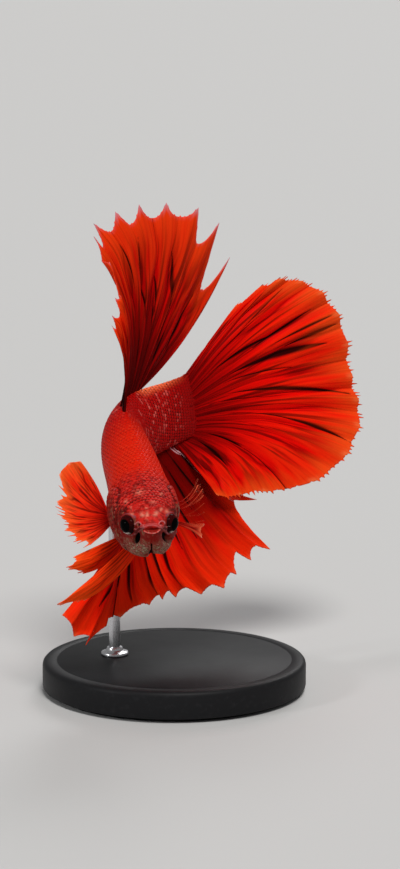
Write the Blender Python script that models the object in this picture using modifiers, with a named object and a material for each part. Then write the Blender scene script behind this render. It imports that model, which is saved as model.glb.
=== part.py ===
"""Life-size still model of a male betta, the Siamese fighting fish, held over a plain display stand.

Frame: metres, +Z up, origin at the middle of the stand's underside. The fish looks along -Y, so its
left side is at +X, and its tail sweeps round to +X behind it. The body and fins are worked out in
millimetres from the snout and brought into the frame by to_world().
"""
import bmesh
import bpy
import numpy as np

MM = 0.001
MODEL_NAME = "betta_fish"

# The body: stations are distances from the snout along the spine, in millimetres.
BODY_LENGTH = 48.0
SPINE_STEP = 0.1
# station, heading to the fish's left of straight back (degrees), climb (degrees)
SPINE = [
    (0, -3, 5),
    (7, -11, 9),
    (14, -9, 19),
    (21, -14, 24),
    (26, -12, 22),
    (31, 9, 14),
    (36, 30, 10),
    (42, 42, 10),
    (48, 46, 12),
]
# station, half width, height over the spine, depth under it, sharpness of the back's ridge
BODY = [
    (0, 1.2, 0.6, 0.9, 1.0),
    (1.2, 1.95, 1.2, 2.0, 1.0),
    (3.5, 2.75, 2.3, 4.2, 1.0),
    (7, 4.7, 3.7, 6.9, 1.0),
    (11, 5.2, 4.8, 7.6, 1.05),
    (16, 4.5, 5.7, 7.1, 1.15),
    (22, 4.0, 6.2, 6.6, 1.3),
    (28, 3.6, 6.2, 6.2, 1.4),
    (34, 3.0, 5.8, 6.2, 1.4),
    (40, 2.3, 5.3, 6.1, 1.3),
    (44, 1.6, 4.9, 5.9, 1.3),
    (48, 0.9, 4.7, 5.8, 1.2),
]
BELLY_SHARPNESS = 1.05
HEAD_END = 13.5
TRUNK_END = 33.0
GAP = 0.35

# Head details
MOUTH_CENTRE = (0.3, -0.15)
MOUTH_HALF_SIZES = (2.2, 2.2, 0.3)
EYE_STATION = 4.8
EYE_SIDE = 2.8
EYE_RISE = -0.55
EYE_RADIUS = 1.6
EYE_CLEARANCE = 0.3
GILL_FRONT = 7.2
GILL_LENGTH = 6.0
GILL_MIDDLE = 104.0
GILL_HALF_SPREAD = 56.0
GILL_ROUNDING = 0.5
GILL_THICKNESS = 0.55
GILL_CLEARANCE = 0.35
GILL_CURVATURE = 5.2
GILL_FACES = (6, 8)

# Fins: thickness of the webs, depth of the pleats between the rays
FIN_THICKNESS = 0.6
NUDGE = 0.01
PLEAT_DEPTH = 0.4
# Columns of faces between two spikes, rows of faces from root to edge
BROAD_FIN_FACES = (4, 7)
CAUDAL_FACES = (3, 7)
PECTORAL_FACES = (3, 5)
PELVIC_FACES = (2, 8)
# Each fin's rays: place along the root (0 to 1), length, then azimuth and elevation of the ray's
# heading at its root and at its tip. Azimuth 0 is straight back, 90 the fish's left.
DORSAL_BASE = (28.0, 39.0)
DORSAL_RAYS = [
    (0.00, 14.0, 140, 80, -70, 65),
    (0.18, 20.5, 130, 74, -80, 70),
    (0.30, 28.0, 120, 74, -95, 56),
    (0.42, 30.5, 115, 75, -90, 57),
    (0.55, 30.5, 105, 75, -80, 72),
    (0.70, 30.5, 80, 73, 10, 80),
    (0.85, 30.4, 62, 65, 56, 66),
    (1.00, 28.5, 40, 28, 58, 62),
]
# Each fin's spikes: place of the spike, depth of the notch after it, sharpness of the spikes beside it
DORSAL_SPIKES = [
    (0.00, 0.12, 1.5),
    (0.09, 0.16, 1.5),
    (0.18, 0.20, 1.5),
    (0.28, 0.10, 1.5),
    (0.37, 0.11, 1.6),
    (0.46, 0.08, 2.0),
    (0.55, 0.08, 2.0),
    (0.64, 0.07, 2.5),
    (0.73, 0.06, 3.0),
    (0.83, 0.15, 2.0),
    (0.91, 0.28, 2.0),
    (1.00, 0.0, 2.0),
]
CAUDAL_HEIGHT = (4.2, -5.8)
CAUDAL_CORNER = 0.88
CAUDAL_WRAP = 2.9
CAUDAL_DROP = 0.55
CAUDAL_BEND = 6
CAUDAL_RAYS = [
    (0.00, 17.0, 45, 42, 40, 33),
    (0.10, 24.5, 50, 50, 48, 28),
    (0.22, 30.0, 50, 44, 56, 24),
    (0.36, 33.0, 48, 26, 68, 18),
    (0.50, 33.0, 48, 10, 70, 2),
    (0.64, 34.0, 48, 3, 78, -14),
    (0.76, 29.5, 52, 0, 90, -38),
    (0.88, 16.0, 66, -18, 96, -66),
    (1.00, 10.2, 100, -50, 110, -52),
]
CAUDAL_LOBES = 14
CAUDAL_NOTCH = 0.03
ANAL_BASE = (19.0, 44.6)
ANAL_RAYS = [
    (0.00, 21.0, -152, -42, -80, -48),
    (0.13, 25.0, -176, -57, -92, -64),
    (0.25, 23.0, 180, -60, -80, -74),
    (0.40, 21.5, 155, -61, 60, -77),
    (0.56, 22.0, 137, -63, 86, -70),
    (0.70, 24.0, 110, -60, 95, -55),
    (0.84, 23.5, 78, -58, 80, -44),
    (0.94, 24.8, 60, -49, 75, -37),
    (1.00, 19.4, 50, -52, 68, -16),
]
ANAL_SPIKES = [
    (0.00, 0.04, 1.5),
    (0.07, 0.07, 1.5),
    (0.14, 0.10, 1.5),
    (0.23, 0.06, 1.5),
    (0.30, 0.06, 1.5),
    (0.37, 0.06, 1.5),
    (0.45, 0.06, 1.5),
    (0.53, 0.06, 1.5),
    (0.61, 0.05, 1.5),
    (0.69, 0.05, 1.5),
    (0.77, 0.10, 1.5),
    (0.85, 0.08, 2.0),
    (0.92, 0.30, 2.0),
    (1.00, 0.0, 1.5),
]
# Paired fins: station and angle round the body of the root's middle, its spread in degrees, its lift
PECTORAL_STATION = 14.5
PECTORAL_ANGLE = 118.0
PECTORAL_SPREAD = 26.0
PECTORAL_LIFT = 0.6
PECTORAL_PLEAT = 0.15
RIGHT_PECTORAL_SPIKES = [
    (0.00, 0.02, 2.0),
    (0.16, 0.02, 2.0),
    (0.32, 0.22, 1.2),
    (0.50, 0.12, 2.0),
    (0.62, 0.12, 2.0),
    (0.74, 0.12, 2.0),
    (0.87, 0.10, 2.0),
    (1.00, 0.0, 2.0),
]
LEFT_PECTORAL_SPIKES = [
    (0.00, 0.10, 2.0),
    (0.15, 0.10, 2.0),
    (0.30, 0.12, 2.0),
    (0.50, 0.12, 2.0),
    (0.75, 0.08, 2.0),
    (1.00, 0.0, 2.0),
]
RIGHT_PECTORAL_RAYS = [
    (0.00, 8.6, -25, 45, -75, 50),
    (0.16, 10.2, -45, 25, -72, 58),
    (0.32, 10.6, -62, 12, -70, 54),
    (0.60, 8.1, -84, -12, -95, 20),
    (0.80, 7.3, -98, -28, -108, -2),
    (1.00, 5.6, -128, -40, -134, -20),
]
LEFT_PECTORAL_RAYS = [
    (0.00, 9.1, 35, -5, 25, 50),
    (0.30, 9.1, 45, -8, 32, 34),
    (0.60, 8.3, 60, -22, 35, 8),
    (1.00, 7.8, 75, -10, 52, -42),
]
PELVIC_STATION = 15.5
PELVIC_ANGLE = 166.0
PELVIC_SPREAD = 7.0
PELVIC_LIFT = 0.6
PELVIC_LOBES = 2
PELVIC_NOTCH = 0.1
PELVIC_PLEAT = 0.0
RIGHT_PELVIC_RAYS = [
    (0.00, 11.5, -150, -62, -86, -12),
    (0.50, 13.0, -147, -30, -83, -14),
    (1.00, 12.2, -144, -2, -80, -28),
]
LEFT_PELVIC_RAYS = [
    (0.00, 16.5, -154, -50, -84, -28),
    (0.50, 20.6, -152, -32, -83, -27),
    (1.00, 17.5, -150, -17, -84, -42),
]

# Display stand
BASE_RADIUS = 21.0
BASE_HEIGHT = 5.0
BASE_EDGE = 0.8
SNOUT = np.array([-3.0, -29.0, 32.0])
ROD_RADIUS = 0.9
ROD_STATION = 32.0
ROD_ANGLE = 228.0
ROD_SEAT_DEPTH = 3.0
ROD_CLEARANCE = 0.3
ROD_TOP_REACH = 6.0
ROD_FACES = 20
SHARP_ANGLE = 40.0


# ---------------------------------------------------------------- curves

def through(table, at):
    """Smooth curve through the rows of a table, whose first column is the parameter."""
    table = np.asarray(table, float)
    x, y = table[:, 0], table[:, 1:]
    slope = np.gradient(y, x, axis=0)
    at = np.clip(np.asarray(at, float), x[0], x[-1])
    row = np.clip(np.searchsorted(x, at, side="right") - 1, 0, len(x) - 2)
    width = (x[row + 1] - x[row])[..., None]
    t = (at - x[row])[..., None] / width
    values = (2 * t**3 - 3 * t**2 + 1) * y[row] + (3 * t**2 - 2 * t**3) * y[row + 1]
    slopes = (t**3 - 2 * t**2 + t) * slope[row] + (t**3 - t**2) * slope[row + 1]
    return values + slopes * width


def heading(azimuth, elevation):
    a, e = np.radians(azimuth), np.radians(elevation)
    return np.stack([np.sin(a) * np.cos(e), np.cos(a) * np.cos(e), np.sin(e)], axis=-1)


def unit(vectors):
    return vectors / np.linalg.norm(vectors, axis=-1, keepdims=True)


def to_world(points):
    return (np.asarray(points) + SNOUT) * MM


# ---------------------------------------------------------------- body

STATIONS = np.arange(0, BODY_LENGTH + SPINE_STEP / 2, SPINE_STEP)
DIRECTIONS = heading(*through(SPINE, STATIONS).T)
STEPS = (DIRECTIONS[1:] + DIRECTIONS[:-1]) / 2 * SPINE_STEP
PLACES = np.vstack([np.zeros(3), np.cumsum(STEPS, axis=0)])


def spine(station):
    """Place on the spine, with the backward, left and up directions there."""
    place = np.stack([np.interp(station, STATIONS, PLACES[:, k]) for k in range(3)], -1)
    back = unit(np.stack([np.interp(station, STATIONS, DIRECTIONS[:, k]) for k in range(3)], -1))
    up = unit(np.array([0, 0, 1.0]) - back * back[..., 2:3])
    return place, back, np.cross(back, up), up


def body(station, angle, grow=0.0):
    """Point of the body's surface: angle 0 is the back, 90 the fish's left, 180 the belly."""
    station, angle = np.broadcast_arrays(np.asarray(station, float), np.radians(angle))
    place, _, left, up = spine(station)
    width, height, depth, ridge = np.moveaxis(through(BODY, station), -1, 0)
    over = np.cos(angle) > 0
    sharpness = np.where(over, ridge, BELLY_SHARPNESS)
    side = np.sign(np.sin(angle)) * np.abs(np.sin(angle)) ** sharpness * (width + grow)
    rise = np.where(over, height + grow, depth + grow) * np.cos(angle)
    return place + left * side[..., None] + up * rise[..., None]


# ---------------------------------------------------------------- fins

def on_back(front, rear):
    return lambda u: body(front + (rear - front) * u, 0 * u, GAP)


def on_belly(front, rear):
    return lambda u: body(front + (rear - front) * u, 0 * u + 180, GAP)


def on_side(station, angle, spread, lift):
    return lambda u: body(station + 0 * u, angle + spread * (u - 0.5), lift)


def at_tail_end(u):
    """Down the end of the tail root as far as its corner, then forward under it."""
    place, back, _, up = spine(np.full_like(u, BODY_LENGTH))
    down = np.minimum(u / CAUDAL_CORNER, 1)
    forward = np.maximum(u - CAUDAL_CORNER, 0) / (1 - CAUDAL_CORNER)
    rise = CAUDAL_HEIGHT[0] + (CAUDAL_HEIGHT[1] - CAUDAL_HEIGHT[0]) * down
    rise -= CAUDAL_DROP * np.sqrt(np.minimum(CAUDAL_BEND * forward, 1))
    return place + up * rise[:, None] + back * (GAP - (CAUDAL_WRAP + GAP) * forward)[:, None]


def even_spikes(lobes, notch):
    return [(k / lobes, notch if k < lobes else 0.0, 1.5) for k in range(lobes + 1)]


def edge(spikes, u):
    """How far along its ray the margin lies: 1 at a spike, less in the notch between two spikes."""
    spikes = np.asarray(spikes)
    gap = np.clip(np.searchsorted(spikes[:, 0], u, side="right") - 1, 0, len(spikes) - 2)
    across = (u - spikes[gap, 0]) / (spikes[gap + 1, 0] - spikes[gap, 0])
    off_middle = np.abs(2 * across - 1)
    return 1 - spikes[gap, 1] * (1 - off_middle ** spikes[gap, 2])


def pleat(spikes, u):
    """1 on the rays that end in spikes, -1 half way between them."""
    spikes = np.asarray(spikes)
    turns = np.interp(u, spikes[:, 0], np.arange(len(spikes)))
    return np.cos(2 * np.pi * turns)


def ray_points(root, rays, u, v):
    """Points v of the way along the rays at u, which swing evenly from one heading to the other."""
    rays = np.asarray(rays, float)
    headings = [heading(rays[:, 2], rays[:, 3]), heading(rays[:, 4], rays[:, 5])]
    length, starts, ends = np.split(through(np.column_stack([rays[:, :2], *headings]), u), [1, 4], 1)
    swing = unit(starts) * (v - v**2 / 2)[:, None] + unit(ends) * (v**2 / 2)[:, None]
    return root(u) + swing * length


def fin_points(root, rays, spikes, pleat_depth, u, v):
    """The fin's middle surface, pleated more and more towards its edge."""
    v = v * edge(spikes, u)
    points = ray_points(root, rays, u, v)
    along = ray_points(root, rays, u, v + NUDGE) - points
    across = ray_points(root, rays, np.minimum(u + NUDGE, 1), v)
    across -= ray_points(root, rays, np.maximum(u - NUDGE, 0), v)
    normal = unit(np.cross(across, along))
    return points + normal * (pleat_depth * v * pleat(spikes, u))[:, None]


# ---------------------------------------------------------------- objects

def clear_scene():
    for thing in list(bpy.data.objects):
        bpy.data.objects.remove(thing, do_unlink=True)


def new_collection(name):
    collection = bpy.data.collections.new(name)
    bpy.context.scene.collection.children.link(collection)
    return collection


def paint(name, colour, roughness, metallic=0.0):
    material = bpy.data.materials.new(name)
    material.use_nodes = True
    shader = material.node_tree.nodes["Principled BSDF"]
    shader.inputs["Base Color"].default_value = (*colour, 1)
    shader.inputs["Roughness"].default_value = roughness
    shader.inputs["Metallic"].default_value = metallic
    return material


def object_from(bm, name, collection):
    """Turns a bmesh into a smoothly shaded object with its faces pointing out."""
    bmesh.ops.recalc_face_normals(bm, faces=bm.faces)
    mesh = bpy.data.meshes.new(name)
    bm.to_mesh(mesh)
    bm.free()
    mesh.shade_smooth()
    mesh.set_sharp_from_angle(angle=np.radians(SHARP_ANGLE))
    thing = bpy.data.objects.new(name, mesh)
    collection.objects.link(thing)
    return thing


def loft(name, rings, collection):
    """Closed skin over a row of rings of points, with flat ends."""
    bm = bmesh.new()
    loops = [[bm.verts.new(point) for point in ring] for ring in rings]
    count = len(loops[0])
    for near, far in zip(loops, loops[1:]):
        for k in range(count):
            after = (k + 1) % count
            bm.faces.new((near[k], near[after], far[after], far[k]))
    bm.faces.new(loops[0])
    bm.faces.new(loops[-1])
    return object_from(bm, name, collection)


def body_piece(name, stations, around, collection, grow=0.0):
    angles = np.arange(around) * 360 / around
    rings = [to_world(body(np.full(around, s), angles, grow)) for s in stations]
    return loft(name, rings, collection)


def grid(name, shape, columns, rows, collection):
    """Open sheet: shape(a, b) gives points for a and b from 0 to 1."""
    bm = bmesh.new()
    bmesh.ops.create_grid(bm, x_segments=columns, y_segments=rows, size=0.5)
    corners = np.array([vert.co[:2] for vert in bm.verts]) + 0.5
    for vert, point in zip(bm.verts, to_world(shape(corners[:, 0], corners[:, 1]))):
        vert.co = point
    return object_from(bm, name, collection)


def thicken(thing, thickness, offset):
    solidify = thing.modifiers.new("Solidify", "SOLIDIFY")
    solidify.thickness = thickness * MM
    solidify.offset = offset


def cut(thing, cutter):
    cutter.hide_render = True
    cutter.display_type = "WIRE"
    boolean = thing.modifiers.new("Cut " + cutter.name, "BOOLEAN")
    boolean.operation = "DIFFERENCE"
    boolean.object = cutter


def move_to(thing, collection):
    for owner in list(thing.users_collection):
        owner.objects.unlink(thing)
    collection.objects.link(thing)


# ---------------------------------------------------------------- pieces

def eye_centre(side):
    place, _, left, up = spine(EYE_STATION)
    return place + left * EYE_SIDE * side + up * EYE_RISE


def ball(name, centre, radii, segments, rings, collection, turn=(0, 0, 0)):
    bpy.ops.mesh.primitive_uv_sphere_add(segments=segments, ring_count=rings, radius=1.0, rotation=turn)
    thing = bpy.context.object
    thing.name = name
    thing.scale = np.broadcast_to(radii, 3) * MM
    bpy.ops.object.transform_apply(location=False, rotation=True, scale=True)
    thing.location = to_world(centre)
    thing.data.shade_smooth()
    move_to(thing, collection)
    return thing


def gill_sheet(side, margin):
    """The gill cover's outline on the body's surface, rounded at its front and rear."""
    def shape(a, b):
        station = GILL_FRONT - margin + (GILL_LENGTH + 2 * margin) * a
        spread = GILL_HALF_SPREAD + np.degrees(margin / GILL_CURVATURE)
        spread = spread * (1 - GILL_ROUNDING * (2 * a - 1) ** 2)
        return body(station, side * (GILL_MIDDLE + spread * (2 * b - 1)))
    return shape


def gill_cover(name, side, collection):
    cover = grid(name, gill_sheet(side, 0), *GILL_FACES, collection)
    thicken(cover, GILL_THICKNESS, inward_offset(cover, side))
    return cover


def inward_offset(sheet, side):
    """Solidify offset that thickens towards the spine, whichever way the sheet's faces point."""
    face = sheet.data.polygons[len(sheet.data.polygons) // 2]
    outward = eye_centre(side) - eye_centre(-side)
    return -1 if np.dot(face.normal, outward) > 0 else 1


def gill_pocket(name, side, collection):
    pocket = grid(name, gill_sheet(side, GILL_CLEARANCE), *GILL_FACES, collection)
    thicken(pocket, 2 * (GILL_THICKNESS + GILL_CLEARANCE), 0)
    return pocket


def head(parts, cutters):
    stations = HEAD_END * np.linspace(0, 1, 14) ** 1.3
    piece = body_piece("head", stations, 24, parts)
    place, back, _, up = spine(0.0)
    centre = place + back * MOUTH_CENTRE[0] + up * MOUTH_CENTRE[1]
    cut(piece, ball("mouth_cutter", centre, MOUTH_HALF_SIZES, 16, 6, cutters))
    for side, word in ((1, "left"), (-1, "right")):
        socket = EYE_RADIUS + EYE_CLEARANCE
        cut(piece, ball("socket_cutter_" + word, eye_centre(side), socket, 16, 10, cutters))
        cut(piece, gill_pocket("gill_pocket_" + word, side, cutters))
    return piece


def fin(name, root, rays, spikes, pleat_depth, faces, collection):
    """Pleated web with columns of faces that meet every spike and notch."""
    gaps = len(spikes) - 1
    per_gap, rows = faces
    places = np.array([row[0] for row in spikes])

    def shape(a, b):
        u = np.interp(a * gaps, np.arange(gaps + 1), places)
        return fin_points(root, rays, spikes, pleat_depth, u, b)

    sheet = grid(name, shape, gaps * per_gap, rows, collection)
    thicken(sheet, FIN_THICKNESS, 0)
    return sheet


def stand(parts, cutters):
    bpy.ops.mesh.primitive_cylinder_add(vertices=40, radius=BASE_RADIUS * MM, depth=BASE_HEIGHT * MM)
    base = bpy.context.object
    base.name = "stand_base"
    base.location.z = BASE_HEIGHT / 2 * MM
    move_to(base, parts)
    bevel = base.modifiers.new("Bevel", "BEVEL")
    bevel.width = BASE_EDGE * MM
    bevel.segments = 2

    top = to_world(body(ROD_STATION, ROD_ANGLE))
    foot = (BASE_HEIGHT - ROD_SEAT_DEPTH) * MM
    overshoot = 2 * MM
    tall = top[2] + overshoot - foot
    bpy.ops.mesh.primitive_cylinder_add(vertices=ROD_FACES, radius=ROD_RADIUS * MM, depth=tall)
    rod = bpy.context.object
    rod.name = "stand_rod"
    rod.location = (top[0], top[1], foot + tall / 2)
    move_to(rod, parts)
    span = np.linspace(ROD_STATION - ROD_TOP_REACH, ROD_STATION + ROD_TOP_REACH, 13)
    cut(rod, body_piece("rod_top_cutter", span, 28, cutters, GAP))

    seat_radius = (ROD_RADIUS + ROD_CLEARANCE) * MM
    seat_depth = (ROD_SEAT_DEPTH + ROD_CLEARANCE) * MM
    bpy.ops.mesh.primitive_cylinder_add(vertices=ROD_FACES, radius=seat_radius, depth=2 * seat_depth)
    seat = bpy.context.object
    seat.name = "rod_seat_cutter"
    seat.location = (top[0], top[1], BASE_HEIGHT * MM)
    move_to(seat, cutters)
    cut(base, seat)
    for thing in (base, rod):
        thing.data.shade_smooth()
        thing.data.set_sharp_from_angle(angle=np.radians(SHARP_ANGLE))
    return base, rod


def main():
    clear_scene()
    parts = new_collection(MODEL_NAME)
    cutters = new_collection("cutters")

    head(parts, cutters)
    body_piece("trunk", np.linspace(HEAD_END + GAP, TRUNK_END, 13), 24, parts)
    body_piece("tail_root", np.linspace(TRUNK_END + GAP, BODY_LENGTH, 9), 20, parts)
    for side, word in ((1, "left"), (-1, "right")):
        gill_cover("gill_cover_" + word, side, parts)
        turn = (0, side * np.pi / 2, 0)
        ball("eye_" + word, eye_centre(side), EYE_RADIUS, 12, 8, parts, turn)

    dorsal_root, anal_root = on_back(*DORSAL_BASE), on_belly(*ANAL_BASE)
    caudal_spikes = even_spikes(CAUDAL_LOBES, CAUDAL_NOTCH)
    fin("dorsal_fin", dorsal_root, DORSAL_RAYS, DORSAL_SPIKES, PLEAT_DEPTH, BROAD_FIN_FACES, parts)
    fin("caudal_fin", at_tail_end, CAUDAL_RAYS, caudal_spikes, PLEAT_DEPTH, CAUDAL_FACES, parts)
    fin("anal_fin", anal_root, ANAL_RAYS, ANAL_SPIKES, PLEAT_DEPTH, BROAD_FIN_FACES, parts)
    pelvic_spikes = even_spikes(PELVIC_LOBES, PELVIC_NOTCH)
    pectorals = (
        (1, "left", LEFT_PECTORAL_RAYS, LEFT_PECTORAL_SPIKES),
        (-1, "right", RIGHT_PECTORAL_RAYS, RIGHT_PECTORAL_SPIKES),
    )
    for side, word, rays, spikes in pectorals:
        root = on_side(PECTORAL_STATION, side * PECTORAL_ANGLE, side * PECTORAL_SPREAD, PECTORAL_LIFT)
        fin("pectoral_fin_" + word, root, rays, spikes, PECTORAL_PLEAT, PECTORAL_FACES, parts)
    for side, word, rays in ((1, "left", LEFT_PELVIC_RAYS), (-1, "right", RIGHT_PELVIC_RAYS)):
        root = on_side(PELVIC_STATION, side * PELVIC_ANGLE, side * PELVIC_SPREAD, PELVIC_LIFT)
        fin("pelvic_fin_" + word, root, rays, pelvic_spikes, PELVIC_PLEAT, PELVIC_FACES, parts)
    stand(parts, cutters)

    flesh, web, spine_red = (0.42, 0.035, 0.02), (0.62, 0.03, 0.008), (0.5, 0.05, 0.03)
    looks = {
        "head": (flesh, 0.45, 0.0),
        "trunk": (flesh, 0.4, 0.0),
        "tail_root": (flesh, 0.4, 0.0),
        "gill": (spine_red, 0.4, 0.0),
        "eye": ((0.02, 0.015, 0.015), 0.1, 0.0),
        "stand_base": ((0.02, 0.02, 0.022), 0.35, 0.0),
        "stand_rod": ((0.6, 0.6, 0.62), 0.3, 1.0),
    }
    for thing in parts.objects:
        look = next((looks[key] for key in looks if thing.name.startswith(key)), (web, 0.5, 0.0))
        thing.data.materials.append(paint(thing.name, *look))


main()
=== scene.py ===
"""Finish of a life-size male betta on its display stand: skin, scales, eyes, fins, stand and studio.

The fish is laid out in millimetres from its snout, with its left side at +X and its tail behind it
at +Y, and to_world() brings each point into the frame.
"""

import bpy
import numpy as np
from bpy.props import FloatProperty, FloatVectorProperty, IntProperty, PointerProperty
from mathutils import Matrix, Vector


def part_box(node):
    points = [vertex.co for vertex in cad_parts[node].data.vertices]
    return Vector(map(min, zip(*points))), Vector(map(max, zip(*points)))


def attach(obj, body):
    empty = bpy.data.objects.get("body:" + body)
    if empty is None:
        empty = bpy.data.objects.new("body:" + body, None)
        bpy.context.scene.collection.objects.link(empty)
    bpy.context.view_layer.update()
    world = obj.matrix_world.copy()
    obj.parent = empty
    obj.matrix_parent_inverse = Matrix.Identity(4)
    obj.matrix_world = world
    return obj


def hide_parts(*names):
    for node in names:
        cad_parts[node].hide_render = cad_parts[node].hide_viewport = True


bl_info = {
    "name": "Betta on a stand",
    "version": (1, 0, 0),
    "blender": (4, 5, 0),
    "location": "3D View > Sidebar > Betta",
    "description": "Builds the skin, scales, eyes and fins of a life-size betta and its stand",
    "category": "Add Mesh",
}

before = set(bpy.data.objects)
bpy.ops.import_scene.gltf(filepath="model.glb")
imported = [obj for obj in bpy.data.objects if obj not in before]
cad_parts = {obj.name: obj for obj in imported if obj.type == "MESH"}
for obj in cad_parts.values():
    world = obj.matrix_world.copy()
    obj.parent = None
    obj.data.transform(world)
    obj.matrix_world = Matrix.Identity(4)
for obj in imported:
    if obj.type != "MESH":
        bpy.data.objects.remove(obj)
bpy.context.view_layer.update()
MM = 0.001
SIDES = {1: "left", -1: "right"}

# ---- the fish's layout, in millimetres

SNOUT = np.array([-3.0, -29.0, 32.0])
BODY_LENGTH = 48.0
SPINE_STEP = 0.1
# station, heading to the fish's left of straight back (degrees), climb (degrees)
SPINE = [
    (0, -3, 5),
    (7, -11, 9),
    (14, -9, 19),
    (21, -14, 24),
    (26, -12, 22),
    (31, 9, 14),
    (36, 30, 10),
    (42, 42, 10),
    (48, 46, 12),
]
# station, half width, height over the spine, depth under it, sharpness of the back's ridge
BODY = [
    (0, 1.2, 0.6, 0.9, 1.0),
    (1.2, 1.95, 1.2, 2.0, 1.0),
    (3.5, 2.75, 2.3, 4.2, 1.0),
    (7, 4.7, 3.7, 6.9, 1.0),
    (11, 5.2, 4.8, 7.6, 1.05),
    (16, 4.5, 5.7, 7.1, 1.15),
    (22, 4.0, 6.2, 6.6, 1.3),
    (28, 3.6, 6.2, 6.2, 1.4),
    (34, 3.0, 5.8, 6.2, 1.4),
    (40, 2.3, 5.3, 6.1, 1.3),
    (44, 1.6, 4.9, 5.9, 1.3),
    (48, 0.9, 4.7, 5.8, 1.2),
]
BELLY_SHARPNESS = 1.05
# Space between the solids of flesh and of the fins
GAP = 0.35
# An eye's middle, from the spine; its gaze is turned forward (degrees) and up, and its opening is
# as many degrees wide to each side
EYE_STATION = 4.8
EYE_SIDE = 2.8
EYE_RISE = -0.55
EYE_RADIUS = 1.6
EYE_FORWARD = 40.0
EYE_UPWARD = 0.05
EYE_OPENING = 70.0
# A gill cover's outline, by station and by angle round the body
GILL_FRONT = 7.2
GILL_LENGTH = 6.0
GILL_MIDDLE = 104.0
GILL_HALF_SPREAD = 56.0
GILL_ROUNDING = 0.5
GILL_CURVATURE = 5.2

# Step for taking directions
NUDGE = 0.01
# Each fin's rays: place along the root (0 to 1), length, then azimuth and elevation of the ray's
# heading at its root and at its tip. Azimuth 0 is straight back, 90 the fish's left.
DORSAL_BASE = (28.0, 39.0)
DORSAL_RAYS = [
    (0, 14, 140, 80, -70, 65), (0.18, 20.5, 130, 74, -80, 70), (0.3, 28, 120, 74, -95, 56),
    (0.42, 30.5, 115, 75, -90, 57), (0.55, 30.5, 105, 75, -80, 72), (0.7, 30.5, 80, 73, 10, 80),
    (0.85, 30.4, 62, 65, 56, 66), (1, 28.5, 40, 28, 58, 62),
]
# Each fin's spikes: place along the root, depth of the notch after it, sharpness of those beside it
DORSAL_SPIKES = [
    (0, 0.12, 1.5), (0.09, 0.16, 1.5), (0.18, 0.2, 1.5), (0.28, 0.1, 1.5), (0.37, 0.11, 1.6),
    (0.46, 0.08, 2), (0.55, 0.08, 2), (0.64, 0.07, 2.5), (0.73, 0.06, 3), (0.83, 0.15, 2),
    (0.91, 0.28, 2), (1, 0, 2),
]
# The tail fin's root runs down between two heights over the spine, then turns forward at its corner
CAUDAL_HEIGHT = (4.2, -5.8)
CAUDAL_CORNER = 0.88
CAUDAL_WRAP = 2.9
CAUDAL_DROP = 0.55
CAUDAL_BEND = 6
CAUDAL_RAYS = [
    (0, 17, 45, 42, 40, 33), (0.1, 24.5, 50, 50, 48, 28), (0.22, 30, 50, 44, 56, 24),
    (0.36, 33, 48, 26, 68, 18), (0.5, 33, 48, 10, 70, 2), (0.64, 34, 48, 3, 78, -14),
    (0.76, 29.5, 52, 0, 90, -38), (0.88, 16, 66, -18, 96, -66), (1, 10.2, 100, -50, 110, -52),
]
CAUDAL_LOBES = 14
CAUDAL_NOTCH = 0.03
ANAL_BASE = (19.0, 44.6)
ANAL_RAYS = [
    (0, 21, -152, -42, -80, -48), (0.13, 25, -176, -57, -92, -64), (0.25, 23, 180, -60, -80, -74),
    (0.4, 21.5, 155, -61, 60, -77), (0.56, 22, 137, -63, 86, -70), (0.7, 24, 110, -60, 95, -55),
    (0.84, 23.5, 78, -58, 80, -44), (0.94, 24.8, 60, -49, 75, -37), (1, 19.4, 50, -52, 68, -16),
]
ANAL_SPIKES = [
    (0, 0.04, 1.5), (0.07, 0.07, 1.5), (0.14, 0.1, 1.5), (0.23, 0.06, 1.5), (0.3, 0.06, 1.5),
    (0.37, 0.06, 1.5), (0.45, 0.06, 1.5), (0.53, 0.06, 1.5), (0.61, 0.05, 1.5), (0.69, 0.05, 1.5),
    (0.77, 0.1, 1.5), (0.85, 0.08, 2), (0.92, 0.3, 2), (1, 0, 1.5),
]
# Roots of the paired fins: station, angle round the body, degrees from end to end, height over it
PECTORAL_ROOT = (14.5, 118, 26, 0.6)
RIGHT_PECTORAL_SPIKES = [
    (0, 0.02, 2), (0.16, 0.02, 2), (0.32, 0.22, 1.2), (0.5, 0.12, 2), (0.62, 0.12, 2), (0.74, 0.12, 2),
    (0.87, 0.1, 2), (1, 0, 2),
]
LEFT_PECTORAL_SPIKES = [
    (0, 0.1, 2), (0.15, 0.1, 2), (0.3, 0.12, 2), (0.5, 0.12, 2), (0.75, 0.08, 2), (1, 0, 2),
]
RIGHT_PECTORAL_RAYS = [
    (0, 8.6, -25, 45, -75, 50), (0.16, 10.2, -45, 25, -72, 58), (0.32, 10.6, -62, 12, -70, 54),
    (0.6, 8.1, -84, -12, -95, 20), (0.8, 7.3, -98, -28, -108, -2), (1, 5.6, -128, -40, -134, -20),
]
LEFT_PECTORAL_RAYS = [
    (0, 9.1, 35, -5, 25, 50), (0.3, 9.1, 45, -8, 32, 34), (0.6, 8.3, 60, -22, 35, 8),
    (1, 7.8, 75, -10, 52, -42),
]
PELVIC_ROOT = (15.5, 166, 7, 0.6)
PELVIC_LOBES = 2
PELVIC_NOTCH = 0.1
RIGHT_PELVIC_RAYS = [
    (0, 11.5, -150, -62, -86, -12), (0.5, 13, -147, -30, -83, -14), (1, 12.2, -144, -2, -80, -28),
]
LEFT_PELVIC_RAYS = [
    (0, 16.5, -154, -50, -84, -28), (0.5, 20.6, -152, -32, -83, -27), (1, 17.5, -150, -17, -84, -42),
]


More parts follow.
